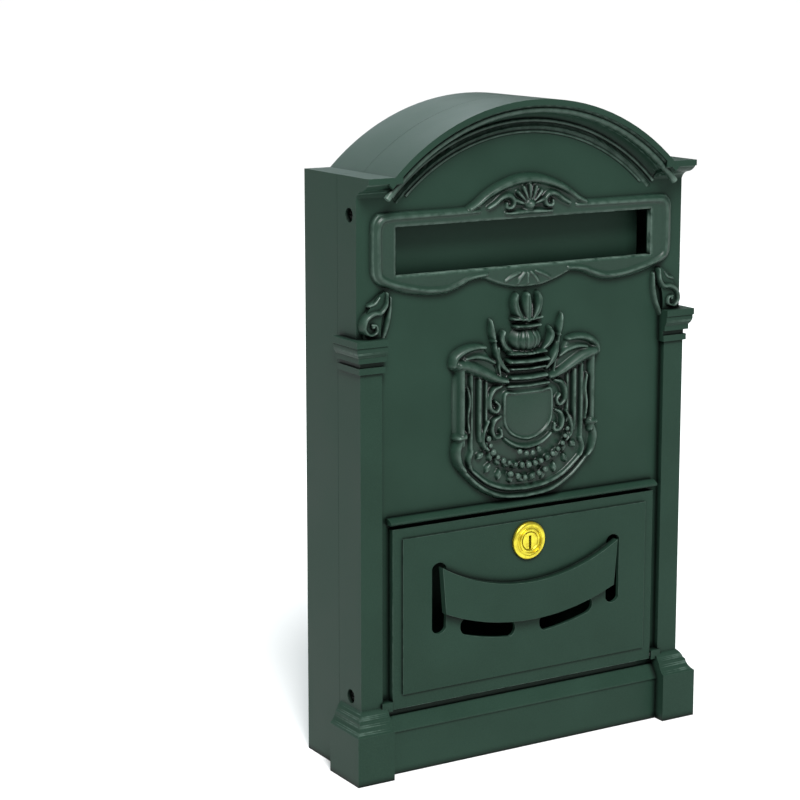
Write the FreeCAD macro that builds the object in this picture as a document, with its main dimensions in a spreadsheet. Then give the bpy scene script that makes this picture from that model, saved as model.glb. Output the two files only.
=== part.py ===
# Wall mounted mailbox: a cast aluminium front with an arched head on a deep cast casing, a top hung flap
# behind the letter slot, and a lockable door hinged at its foot.
#
# Frame: +X to the right as you face the box, +Y into the wall, +Z up, in millimetres. The origin is on the
# wall face, at the centre of the four wall holes. Each piece is modelled with z = 0 at the feet and y = 0 at
# the wall, and its Placement then lowers it by the height of that centre. "Out" means distance from the wall.

import FreeCAD, Part
import Sketcher
import math
import os

from FreeCAD import Vector

doc = FreeCAD.newDocument("mailbox")
sheet = doc.addObject("Spreadsheet::Sheet", "Sizes")


# ---------------------------------------------------------------------------------------------------------
# Driving dimensions: alias, millimetres, what it is
# ---------------------------------------------------------------------------------------------------------

DIMENSIONS = [
    ("height", 410, "feet to the crown of the arch"),
    ("body_width", 240, "casing and face, side to side"),
    ("face_out", 62, "wall to the plain face of the front casting"),
    ("origin_high", 205, "feet to the centre of the wall holes"),
    # casing
    ("sheet_wall", 2.4, "wall of the rear casing"),
    ("seam_out", 40, "wall to the seam between casing and front"),
    ("seam_gap", 0.2, "open line at that seam"),
    ("holes_edge", 35, "wall holes to the side of the body"),
    ("holes_high", 250, "wall holes, centre to centre up"),
    ("wall_hole", 6.5, "wall hole diameter"),
    ("drain_hole", 5, "drain hole diameter"),
    ("drain_span", 120, "drain holes, centre to centre"),
    # front casting
    ("cast_wall", 3, "wall of the front casting"),
    ("arch_radius", 145, "outer radius of the arched head"),
    ("arch_rise", 42, "shoulders to the crown of the arch"),
    ("cornice_proud", 15, "cornice and arch fascia in front of the face"),
    ("cornice_lip", 3.6, "height of the fascia"),
    ("cornice_deep", 13, "height of the whole cornice"),
    ("bead_radius", 130, "outer radius of the bead inside the arch"),
    ("bead_wide", 4, "width of that bead"),
    ("bead_proud", 1.6, "bead in front of the face"),
    # pilasters, capitals, plinth
    ("pilaster_wide", 15, "width of a pilaster"),
    ("pilaster_proud", 4.6, "pilaster in front of the face"),
    ("capital_below", 96, "shoulders to the top of a capital"),
    ("capital_tall", 20.5, "height of a capital"),
    ("capital_proud", 5, "abacus past the pilaster, front and side"),
    ("wrap_back", 20, "how far capitals and blocks return along the sides"),
    ("block_high", 44, "feet to the top of a plinth block"),
    ("block_ogee", 13, "height of the moulded top of a block"),
    ("block_side", 8, "plinth block past the side of the body"),
    ("block_proud", 14.8, "plinth block in front of the face"),
    ("block_wide", 17.5, "inner side of a block to the side of the body"),
    ("plinth_high", 36, "feet to the top of the middle plinth"),
    ("plinth_slope", 8, "height of its sloping top"),
    ("plinth_nose", 0.8, "nosing under the slope, past the plinth and its height"),
    ("plinth_proud", 6.4, "middle plinth in front of the face"),
    # letter slot and cartouche
    ("slot_margin", 25, "end of the letter slot to the side of the body"),
    ("slot_below", 60, "shoulders to the sill of the slot"),
    ("slot_tall", 29.5, "letter slot height"),
    ("cartouche_border", 14.5, "raised frame past each end of the slot"),
    ("cartouche_proud", 2.2, "that frame in front of the face"),
    # door
    ("door_margin", 7, "door to the pilaster beside it"),
    ("door_high", 154.5, "feet to the top edge of the door"),
    ("door_thick", 6, "door, rim to front face"),
    ("door_skin", 2.8, "door skin"),
    ("door_rim", 4.5, "rim round the back of the door"),
    ("door_gap", 0.4, "door rim to the face behind it"),
    ("door_overlap", 3.5, "door past the opening behind it"),
    ("door_border", 6.5, "plain border round the raised field"),
    ("door_field", 1.2, "raised field in front of the border"),
    ("hinge_over", 7.5, "door hinge axis over the middle plinth"),
    ("barrel_radius", 2.9, "rounded foot of the door"),
    ("hinge_pin", 3, "door hinge pin diameter"),
    ("hinge_pin_long", 18, "door hinge pin length"),
    ("running_fit", 0.06, "radial play of a turning pin"),
    ("seat_fit", 0.02, "radial play of a fixed pin or screw"),
    ("ledge_over", 2.8, "drip ledge over the door"),
    ("ledge_tall", 3.7, "height of the drip ledge"),
    ("ledge_proud", 7, "drip ledge in front of the face"),
    ("ledge_past", 2.2, "drip ledge past each side of the door"),
    # ribbon and sight slots in the door
    ("ribbon_half", 66, "centre line to the end of the raised ribbon"),
    ("ribbon_taper", 2.5, "how much shorter its lower edge is, each end"),
    ("ribbon_below", 27, "top of the door to its upper corners"),
    ("ribbon_tall", 29.5, "height of its ends"),
    ("ribbon_proud", 5, "ribbon in front of the door"),
    ("ribbon_top_bend", 128, "radius of its upper edge"),
    ("ribbon_low_bend", 159, "radius of its lower edge"),
    ("sight_tall", 10.8, "height of the sight slots under the ribbon"),
    ("sight_from", 12.8, "centre line to the near end of a sight slot"),
    ("sight_long", 33.7, "length of a sight slot"),
    ("ribbon_wall", 4, "wall at the ends of the hollow ribbon"),
    ("end_slot_from", 60.6, "centre line to the near side of an end slot"),
    ("end_slot_wide", 10.2, "width of the upright end slots"),
    ("end_slot_below", 15.5, "ribbon's lower corners to the bottom of an end slot"),
    ("end_slot_tall", 49.5, "height of an end slot"),
    # flap
    ("flap_short", 1, "flap shorter than the slot"),
    ("flap_sheet", 1.5, "flap thickness"),
    ("flap_lap", 2, "flap below the sill of the slot"),
    ("flap_back", 12.5, "front of the flap behind the face"),
    ("flap_side_gap", 0.8, "end of the flap to the rod lug"),
    ("flap_rod", 3, "flap rod diameter"),
    ("flap_rod_over", 4.2, "flap rod axis above the slot"),
    ("lug_thick", 4, "thickness of a rod lug"),
    ("clip_thick", 0.6, "thickness of a push-on clip"),
    ("clip_wide", 8, "diameter of a push-on clip"),
    # lock
    ("lock_below", 19.5, "top of the door to the lock axis"),
    ("lock_rim", 4, "brass head past the barrel"),
    ("lock_head_thick", 2.2, "brass head thickness"),
    ("lock_barrel", 16, "threaded barrel diameter"),
    ("lock_long", 16, "door face to the back of the barrel"),
    ("lock_plug", 11, "plug diameter"),
    ("lock_nut_wall", 2, "thinnest wall of the nut"),
    ("lock_nut_thick", 4, "nut thickness"),
    ("lock_washer_thick", 1, "lock washer thickness"),
    ("key_slot_tall", 8.6, "keyway height"),
    ("key_slot_wide", 1.8, "keyway width"),
    ("cam_long", 27, "lock axis to the tip of the cam"),
    ("cam_wide", 13, "cam width"),
    ("cam_thick", 2, "cam thickness"),
    ("cam_square", 6, "square shank of the plug"),
    ("cam_screw", 4, "cam screw diameter"),
    ("cam_screw_head", 2.4, "height of the cam screw's head"),
    ("cam_screw_long", 6, "cam screw length under the head"),
    ("strike_gap", 0.5, "cam to the strike rib"),
    # screws
    ("screw_dia", 4, "casing screw diameter"),
    ("screw_head", 7.6, "casing screw head diameter"),
    ("screw_head_thick", 2.2, "casing screw head thickness"),
    ("counterbore", 8.8, "counterbore diameter"),
    ("counterbore_deep", 3.6, "counterbore depth"),
    ("boss_thick", 3, "screw boss inside the skirt"),
    ("boss_wide", 15, "screw boss width"),
    ("screw_in", 8, "screw axis behind the face"),
    ("screw_over", 6, "lower screws over the plinth blocks"),
    ("screw_below", 23, "shoulders to the upper screws"),
    ("lug_sheet", 2.4, "casing lug thickness"),
    # crest
    ("crest_over", 0.5, "tip of the crest over the drip ledge"),
    ("crest_wide", 104, "width of the crest body"),
    ("crest_tall", 88.5, "tip of the crest to its shoulders"),
    ("finial_tall", 42.5, "shoulders of the crest to the top of its finial"),
    ("crest_finial", 30, "width of the finial at its foot"),
    ("crest_spears", 50, "distance between the tips of the spears"),
    ("crest_spear_tall", 25.5, "shoulders of the crest to those tips"),
    ("crest_spear_wide", 8, "width of a spear at its foot"),
    ("crest_proud", 6.5, "crest in front of the face"),
    ("crest_stud", 4, "crest stud diameter"),
    ("crest_stud_down", 60, "shoulders of the crest to the lower stud"),
    ("crest_stud_up", 12, "shoulders of the crest to the upper stud"),
    ("crest_stud_long", 5, "stud behind the wall of the casting"),
    ("push_nut_thick", 1.2, "push-on nut thickness"),
    ("console_tall", 28, "scroll console above a capital"),
    ("console_wide", 13, "width of a console"),
]

for row, (alias, value, remark) in enumerate(DIMENSIONS, start=1):
    sheet.set(f"A{row}", str(value))
    sheet.setAlias(f"A{row}", alias)
    sheet.set(f"B{row}", remark)
doc.recompute()


class Size:
    """A length as both a number and the sheet expression that it comes from."""

    def __init__(self, number, text):
        self.number = float(number)
        self.text = text

    @staticmethod
    def of(value):
        return value if isinstance(value, Size) else Size(value, f"({float(value)})")

    def __add__(self, other):
        other = Size.of(other)
        return Size(self.number + other.number, f"({self.text} + {other.text})")

    def __sub__(self, other):
        other = Size.of(other)
        return Size(self.number - other.number, f"({self.text} - {other.text})")

    def __mul__(self, other):
        other = Size.of(other)
        return Size(self.number * other.number, f"({self.text} * {other.text})")

    def __truediv__(self, other):
        other = Size.of(other)
        return Size(self.number / other.number, f"({self.text} / {other.text})")

    def __radd__(self, other):
        return Size.of(other) + self

    def __rsub__(self, other):
        return Size.of(other) - self

    def __rmul__(self, other):
        return Size.of(other) * self

    def __neg__(self):
        return Size.of(0) - self


def root(size):
    return Size(math.sqrt(size.number), f"sqrt({size.text})")


class Sheet:
    """The driving dimensions by name, each a Size."""

    def __getattr__(self, alias):
        return Size(sheet.get(alias), f"Sizes.{alias}")


S = Sheet()


# ---------------------------------------------------------------------------------------------------------
# Small tools for sketches and features
# ---------------------------------------------------------------------------------------------------------

# Proportions of the mouldings and small parts, each a share of the size that it is used with
COVE_OUT, COVE_DOWN = 0.42, 0.62
COVE_UPPER_BEND, COVE_LOWER_BEND = 0.75, 0.5
BEAD_BEND = 0.62
CAPITAL_STEPS = (
    (0, 0.3),
    (0.19, 0.3),
    (0.19, 0.04),
    (0.34, 0.04),
    (0.34, 0.5),
    (0.5, 0.5, -1.4),
    (0.79, 0.86),
    (0.81, 1),
    (1, 1),
)
OGEE_STEPS = ((0, 1, 1.25), (0.55, 0.52), (0.62, 0.4, -1.1))
CAP_BEND = 0.54
HUMP_FROM_SLOT = 0.44
CARTOUCHE_SIDE_WAVE, CARTOUCHE_TIP_BEND, CARTOUCHE_LOW_WAVE, CARTOUCHE_HUMP_BEND = 90, 40, 70, 52
PIN_IN_DOOR = 0.58
KEYWAY_UNDER_AXIS = 0.6
CAM_TIP_BEND = 5
CAM_HUB_BEND = 1.02
# Millimetres that a feature starts inside the metal, so that it fuses, or that a cut runs past it
EMBED = 1
PAST = 1
SLIP = 0.1
PIN_ROOM = 0.72
# Millimetres that the top of a plinth block stands past the pilaster
FLUSH = 0.05

PLANES = {"front": "XZ_Plane", "side": "YZ_Plane", "plan": "XY_Plane"}


def new_body(label):
    body = doc.addObject("PartDesign::Body", label)
    body.Label = label
    body.setExpression(".Placement.Base.z", "-Sizes.origin_high")
    return body


def new_sketch(body, plane, offset=0):
    """A sketch on one of the body's own planes, moved along that plane's normal.

    front: u = x, v = z, and the normal points out from the wall. side: u = y, v = z, and the normal is +x.
    plan: u = x, v = y, and the normal is +z.
    """
    sketch = body.newObject("Sketcher::SketchObject", body.Label + "_sketch")
    support = next(o for o in body.Origin.OriginFeatures if o.Role == PLANES[plane])
    sketch.AttachmentSupport = [(support, "")]
    sketch.MapMode = "FlatFace"
    offset = Size.of(offset)
    sketch.AttachmentOffset = FreeCAD.Placement(Vector(0, 0, offset.number), FreeCAD.Rotation())
    sketch.setExpression(".AttachmentOffset.Base.z", offset.text)
    return sketch


def bind(sketch, kind, *where, size):
    """Adds a dimensional constraint and binds it to its expression."""
    index = sketch.addConstraint(Sketcher.Constraint(kind, *where, size.number))
    sketch.setExpression(f"Constraints[{index}]", size.text)


def pin_point(sketch, geometry, end, u, v):
    """Fixes one point of the sketch at (u, v)."""
    for kind, axis, size in (("DistanceX", -2, u), ("DistanceY", -1, v)):
        if abs(size.number) < 1e-9:
            sketch.addConstraint(Sketcher.Constraint("PointOnObject", geometry, end, axis))
        else:
            bind(sketch, kind, -1, 1, geometry, end, size=size)


def outline(sketch, points):
    """A closed outline. A point is (u, v) for a straight side to the next point, or (u, v, r) for an arc of
    radius r to it: a positive r turns left on the way, and a negative r turns right."""
    corners = [(Size.of(p[0]), Size.of(p[1]), Size.of(p[2]) if len(p) > 2 else None) for p in points]
    edges = []
    for i, (u, v, bend) in enumerate(corners):
        un, vn, _ = corners[(i + 1) % len(corners)]
        start, end = Vector(u.number, v.number, 0), Vector(un.number, vn.number, 0)
        if bend is None:
            index = sketch.addGeometry(Part.LineSegment(start, end))
            edges.append((index, 1, 2))
            continue
        chord = end - start
        left = Vector(-chord.y, chord.x, 0).normalize()
        radius = abs(bend.number)
        rise = radius - math.sqrt(max(radius**2 - (chord.Length / 2) ** 2, 0))
        middle = (start + end) * 0.5 - left * math.copysign(rise, bend.number)
        index = sketch.addGeometry(Part.Arc(start, middle, end))
        forward = sketch.getPoint(index, 1).distanceToPoint(start) < 1e-6
        edges.append((index, 1, 2) if forward else (index, 2, 1))
    for i, (index, first, last) in enumerate(edges):
        following, following_first, _ = edges[(i + 1) % len(edges)]
        sketch.addConstraint(Sketcher.Constraint("Coincident", index, last, following, following_first))
        u, v, bend = corners[i]
        pin_point(sketch, index, first, u, v)
        if bend is not None:
            size = bend if bend.number > 0 else -bend
            bind(sketch, "Radius", index, size=size)


def box_outline(sketch, low_u, low_v, high_u, high_v):
    outline(sketch, [(low_u, low_v), (high_u, low_v), (high_u, high_v), (low_u, high_v)])


def circle(sketch, u, v, radius):
    u, v, radius = Size.of(u), Size.of(v), Size.of(radius)
    index = sketch.addGeometry(Part.Circle(Vector(u.number, v.number, 0), Vector(0, 0, 1), radius.number))
    pin_point(sketch, index, 3, u, v)
    bind(sketch, "Radius", index, size=radius)


def feature(body, kind, sketch, length, reverse, midplane):
    made = body.newObject(f"PartDesign::{kind}", f"{body.Label}_{kind}")
    made.Profile = sketch
    length = Size.of(length)
    made.Length = length.number
    made.setExpression("Length", length.text)
    if midplane:
        made.SideType = "Symmetric"
    made.Reversed = reverse
    sketch.Visibility = False
    body.Tip = made
    doc.recompute()
    return made


def solid_volume(body):
    return body.Shape.Volume if body.Tip is not None and not body.Shape.isNull() else 0.0


def pad(body, sketch, length, reverse=False, midplane=False):
    before = solid_volume(body)
    made = feature(body, "Pad", sketch, length, reverse, midplane)
    if solid_volume(body) <= before:
        raise ValueError(f"{made.Name} adds nothing")
    return made


def pocket(body, sketch, length, reverse=False, midplane=False):
    """Cuts against the sketch's normal, or along it with reverse."""
    before = solid_volume(body)
    made = feature(body, "Pocket", sketch, length, reverse, midplane)
    if solid_volume(body) >= before:
        raise ValueError(f"{made.Name} cuts nothing")
    return made


def revolve(body, sketch, angle=360, midplane=False):
    """Turns the sketch about its own construction line."""
    made = body.newObject("PartDesign::Revolution", f"{body.Label}_Revolution")
    made.Profile = sketch
    made.ReferenceAxis = (sketch, ["Axis0"])
    angle = Size.of(angle)
    made.Angle = angle.number
    if angle.number != 360:
        made.setExpression("Angle", angle.text)
    made.Midplane = midplane
    sketch.Visibility = False
    body.Tip = made
    doc.recompute()
    return made


def turning_axis(sketch, u1, v1, u2, v2):
    """A construction line to turn about, through two fixed points."""
    u1, v1, u2, v2 = (Size.of(x) for x in (u1, v1, u2, v2))
    start, end = Vector(u1.number, v1.number, 0), Vector(u2.number, v2.number, 0)
    index = sketch.addGeometry(Part.LineSegment(start, end), True)
    pin_point(sketch, index, 1, u1, v1)
    pin_point(sketch, index, 2, u2, v2)


# ---------------------------------------------------------------------------------------------------------
# Places that several pieces share
# ---------------------------------------------------------------------------------------------------------

half_body = S.body_width / 2
arch_centre = S.height - S.arch_radius
shoulder_high = S.height - S.arch_rise
inside_out = S.face_out - S.cast_wall
holes_across = half_body - S.holes_edge
pilaster_inner = half_body - S.pilaster_wide
capital_high = shoulder_high - S.capital_below
block_inner = half_body - S.block_wide
# door
hinge_high = S.plinth_high + S.hinge_over
door_back = S.face_out + S.door_gap
door_front = door_back + S.door_thick
hinge_out = door_back + S.barrel_radius
door_half = pilaster_inner - S.door_margin
opening_half = door_half - S.door_overlap
opening_low = hinge_high + S.door_overlap
opening_high = S.door_high - S.door_overlap
ledge_low = S.door_high + S.ledge_over
ribbon_tip = S.door_high - S.ribbon_below
ribbon_low = ribbon_tip - S.ribbon_tall
end_slot_low = ribbon_low - S.end_slot_below
pin_end = door_half + S.hinge_pin_long * (1 - PIN_IN_DOOR)
# letter slot and flap
slot_half = half_body - S.slot_margin
slot_low = shoulder_high - S.slot_below
slot_top = slot_low + S.slot_tall
flap_wide = slot_half * 2 - S.flap_short
flap_front = S.face_out - S.flap_back
roll_radius = S.flap_rod / 2 + S.running_fit + S.flap_sheet
rod_out = flap_front - roll_radius
rod_high = slot_top + S.flap_rod_over
lug_inner = flap_wide / 2 + S.flap_side_gap
rod_half = lug_inner + S.lug_thick + S.clip_thick + 1.2
# lock
lock_high = S.door_high - S.lock_below
lock_head = S.lock_barrel + S.lock_rim * 2
nut_flats = S.lock_barrel + S.lock_nut_wall * 2
cam_front = door_front - S.lock_long
# screws
screw_out = S.face_out - S.screw_in
boss_face = half_body - S.cast_wall - S.boss_thick
# crest
crest_low = ledge_low + S.ledge_tall + S.crest_over
crest_shoulder = crest_low + S.crest_tall
crest_high = crest_shoulder + S.finial_tall
CREST_STUDS = (crest_shoulder - S.crest_stud_down, crest_shoulder - S.crest_stud_up)
SCREW_HEIGHTS = (S.block_high + S.screw_over, shoulder_high - S.screw_below)
SIDES = (-1, 1)


def house(inset):
    """The outline of the box seen from the front, drawn in by an inset: a plain foot, upright sides, flat
    shoulders and an arch between them."""
    half = half_body - inset
    shoulder = shoulder_high - inset
    radius = S.arch_radius - inset
    foot = root(radius * radius - (shoulder - arch_centre) * (shoulder - arch_centre))
    return [
        (-half, Size.of(inset)),
        (half, Size.of(inset)),
        (half, shoulder),
        (foot, shoulder, radius),
        (-foot, shoulder),
        (-half, shoulder),
    ]


# ---------------------------------------------------------------------------------------------------------
# Rear casing
# ---------------------------------------------------------------------------------------------------------


def make_rear_casing():
    body = new_body("rear_casing")
    depth = S.seam_out - S.seam_gap
    shell = new_sketch(body, "front")
    outline(shell, house(Size.of(0)))
    pad(body, shell, depth)
    hollow = new_sketch(body, "front", depth)
    outline(hollow, house(S.sheet_wall))
    pocket(body, hollow, depth - S.sheet_wall)

    # Four lugs reach forward inside the skirt of the front casting and take its screws.
    lug_tip = inside_out - 0.6
    for side in SIDES:
        for high in SCREW_HEIGHTS:
            low, top = high - S.boss_wide / 2, high + S.boss_wide / 2
            root_block = new_sketch(body, "front", S.seam_out / 2)
            root_side = span(side, boss_face - S.lug_sheet, half_body - S.sheet_wall / 2, low, top)
            box_outline(root_block, *root_side)
            pad(body, root_block, S.seam_out / 2 - S.seam_gap)
            tongue = new_sketch(body, "front", S.seam_out / 2)
            box_outline(tongue, *span(side, boss_face - S.lug_sheet, boss_face, low, top))
            pad(body, tongue, lug_tip - S.seam_out / 2)
    for side in SIDES:
        threads = new_sketch(body, "side", side * (boss_face + PAST))
        for high in SCREW_HEIGHTS:
            circle(threads, -screw_out, high, S.screw_dia / 2 + S.seat_fit)
        pocket(body, threads, S.lug_sheet + 2 * PAST, reverse=side < 0)

    wall_holes = new_sketch(body, "front", S.sheet_wall + PAST)
    for across in SIDES:
        for up in SIDES:
            circle(wall_holes, across * holes_across, S.origin_high + up * S.holes_high / 2, S.wall_hole / 2)
    pocket(body, wall_holes, S.sheet_wall + 2 * PAST)
    drains = new_sketch(body, "plan", S.sheet_wall + PAST)
    for across in SIDES:
        circle(drains, across * S.drain_span / 2, -S.seam_out / 2, S.drain_hole / 2)
    pocket(body, drains, S.sheet_wall + 2 * PAST)
    return body


def span(side, near, far, low, high):
    """A box between two distances from the centre line, on one side of it."""
    return (side * near, low, side * far, high) if side > 0 else (-far, low, -near, high)


# ---------------------------------------------------------------------------------------------------------
# Front casting
# ---------------------------------------------------------------------------------------------------------


def cornice_outline(top, behind):
    """The section of the cornice under a top edge, drawn with u = -out: a fascia, then an ogee to the face."""
    tip = S.face_out + S.cornice_proud
    lip = top - S.cornice_lip
    low = top - S.cornice_deep
    middle_out = S.face_out + S.cornice_proud * COVE_OUT
    middle = top - S.cornice_deep * COVE_DOWN
    return [
        (-behind, top),
        (-behind, low),
        (-S.face_out, low, S.cornice_proud * COVE_LOWER_BEND),
        (-middle_out, middle, -(S.cornice_proud * COVE_UPPER_BEND)),
        (-(tip - S.cornice_lip / 3), lip),
        (-tip, lip),
        (-tip, top),
    ]


def add_cornice(body):
    """The arch fascia turned about the arch centre, and the same section run along both shoulders."""
    tip = S.face_out + S.cornice_proud
    behind = S.face_out - EMBED
    for side in SIDES:
        shoulder = new_sketch(body, "side", side * half_body)
        outline(shoulder, cornice_outline(shoulder_high, behind))
        pad(body, shoulder, half_body - arch_foot(), reverse=side > 0)
    arch = new_sketch(body, "side")
    turning_axis(arch, -S.face_out, arch_centre, -tip, arch_centre)
    outline(arch, cornice_outline(S.height, behind))
    revolve(body, arch, arch_angle(), midplane=True)
    bead = new_sketch(body, "side")
    turning_axis(bead, -S.face_out, arch_centre, -tip, arch_centre)
    bead_top = arch_centre + S.bead_radius
    outline(
        bead,
        [
            (-behind, bead_top),
            (-behind, bead_top - S.bead_wide),
            (-S.face_out, bead_top - S.bead_wide, S.bead_wide * BEAD_BEND),
            (-(S.face_out + S.bead_proud), bead_top - S.bead_wide / 2, S.bead_wide * BEAD_BEND),
            (-S.face_out, bead_top),
        ],
    )
    revolve(body, bead, arch_angle(), midplane=True)


def arch_foot():
    """Where the lower edge of the cornice meets the lower edge of the arch moulding."""
    radius = S.arch_radius - S.cornice_deep
    rise = shoulder_high - S.cornice_deep - arch_centre
    return root(radius * radius - rise * rise)


def arch_angle():
    """The whole angle that the arch moulding turns through."""
    radius = S.arch_radius - S.cornice_deep
    rise = shoulder_high - S.cornice_deep - arch_centre
    share = rise / radius
    return Size(2 * math.degrees(math.acos(share.number)), f"(2 * acos({share.text}))")


def add_corner_block(body, low, high, steps, inner, ahead=1):
    """A block that stands proud of one front corner and returns along the side. steps are (height, proud)
    pairs from the foot up, where proud is how far the block stands past the pilaster at the side. In front it
    is ahead times that."""
    pilaster_out = S.face_out + S.pilaster_proud
    front = [(-(S.face_out - S.wrap_back), high), (-(S.face_out - S.wrap_back), low)]
    for item in steps:
        z, proud = item[0], item[1]
        front.append((-(pilaster_out + proud * ahead), z) + tuple(item[2:]))
    widest = half_body + S.block_side * 2
    for side in SIDES:
        run = new_sketch(body, "side", side * inner)
        outline(run, front)
        pad(body, run, widest - inner, reverse=side < 0)
        trim = new_sketch(body, "front", S.face_out - S.wrap_back - PAST)
        cut = [(side * (widest + PAST), low - PAST)]
        cut += [(side * (half_body + proud), z) + mirrored(side, bend) for z, proud, *bend in steps]
        cut += [(side * (widest + PAST), high + PAST)]
        first, last = steps[0], steps[-1]
        cut.insert(1, (side * (half_body + first[1]), low - PAST))
        cut.insert(len(cut) - 1, (side * (half_body + last[1]), high + PAST))
        outline(trim, cut)
        pocket(body, trim, S.wrap_back * 3, reverse=True)


def mirrored(side, bend):
    """The bend of an arc drawn in the front plane, from the one drawn in the side plane."""
    return tuple(-side * b if isinstance(b, (int, float)) else (b * -side) for b in bend)


def add_capitals(body):
    low = capital_high - S.capital_tall
    steps = []
    for up, proud, *bend in CAPITAL_STEPS:
        steps.append((low + S.capital_tall * up, S.capital_proud * proud, *[S.capital_proud * b for b in bend]))
    add_corner_block(body, low, capital_high, steps, pilaster_inner - 1.5)


def add_plinth(body):
    """The two corner blocks with their moulded tops, and the plainer plinth between them."""
    ogee = S.block_high - S.block_ogee
    steps = [(Size.of(0), S.block_side)]
    for up, proud, *bend in OGEE_STEPS:
        steps.append((ogee + S.block_ogee * up, S.block_side * proud, *[S.block_side * b for b in bend]))
    steps.append((S.block_high, Size.of(FLUSH)))
    ahead = (S.block_proud - S.pilaster_proud) / S.block_side
    add_corner_block(body, Size.of(0), S.block_high, steps, block_inner, ahead)
    front = S.face_out + S.plinth_proud
    nose = front + S.plinth_nose
    slope = S.plinth_high - S.plinth_slope
    middle = new_sketch(body, "side")
    outline(
        middle,
        [
            (-(S.face_out - EMBED), 0),
            (-front, 0),
            (-front, slope - S.plinth_nose),
            (-nose, slope - S.plinth_nose),
            (-nose, slope),
            (-(S.face_out + 1.6), S.plinth_high),
            (-(S.face_out - EMBED), S.plinth_high),
        ],
    )
    pad(body, middle, block_inner * 2 + 1, midplane=True)


def add_pilasters(body):
    pilasters = new_sketch(body, "front", S.face_out - EMBED)
    for side in SIDES:
        box_outline(
            pilasters,
            *span(side, pilaster_inner, half_body, S.block_high - EMBED, capital_high - S.capital_tall + EMBED),
        )
    pad(body, pilasters, S.pilaster_proud + EMBED)


def add_consoles(body):
    """The core of the leaf scroll that stands on each capital."""
    consoles = new_sketch(body, "front", S.face_out - EMBED)
    base = capital_high - 0.5
    inner = pilaster_inner - 1.5
    for side in SIDES:
        near, far = side * (inner - 3), side * (inner + S.console_wide)
        outline(
            consoles,
            [
                (side * (inner + 1), base),
                (far, base),
                (far, base + S.console_tall * 0.35, side * S.console_tall * 1.2),
                (side * (inner - 1), base + S.console_tall, side * 6),
                (near, base + S.console_tall * 0.75, side * -S.console_tall * 1.2),
            ],
        )
    pad(body, consoles, S.pilaster_proud * 0.6 + EMBED)


def add_cartouche(body):
    """The raised frame round the letter slot, with a hump over the middle and a waved lower edge."""
    frame = new_sketch(body, "front", S.face_out - EMBED)
    half = slot_half + S.cartouche_border
    top = slot_top + 7.5
    low = slot_low - 5
    hump = slot_half * HUMP_FROM_SLOT
    corner = 9
    outline(
        frame,
        [
            (-half, low + corner, corner * 1.15),
            (-(half - corner), low, CARTOUCHE_SIDE_WAVE),
            (-hump * 1.3, low - 6.5, -CARTOUCHE_TIP_BEND),
            (-hump * 0.75, low, CARTOUCHE_LOW_WAVE),
            (hump * 0.75, low, -CARTOUCHE_TIP_BEND),
            (hump * 1.3, low - 6.5, CARTOUCHE_SIDE_WAVE),
            (half - corner, low, corner * 1.15),
            (half, low + corner),
            (half, top - corner * 0.6, corner * 0.8),
            (half - corner * 0.6, top),
            (hump * 1.15, top, -16),
            (hump * 0.85, top + 4, CARTOUCHE_HUMP_BEND),
            (-hump * 0.85, top + 4, -16),
            (-hump * 1.15, top),
            (-(half - corner * 0.6), top, corner * 0.8),
            (-half, top - corner * 0.6),
        ],
    )
    pad(body, frame, S.cartouche_proud + EMBED)


def add_ledge(body):
    """The drip ledge over the door, with a sloping top."""
    front = S.face_out + S.ledge_proud
    top = ledge_low + S.ledge_tall
    ledge = new_sketch(body, "side")
    outline(
        ledge,
        [
            (-(S.face_out - EMBED), ledge_low),
            (-(front - 0.8), ledge_low),
            (-front, ledge_low + 0.8),
            (-front, ledge_low + S.ledge_tall * 0.45, -S.ledge_tall * 2.2),
            (-S.face_out, top),
            (-(S.face_out - EMBED), top),
        ],
    )
    pad(body, ledge, (door_half + S.ledge_past) * 2, midplane=True)


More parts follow.
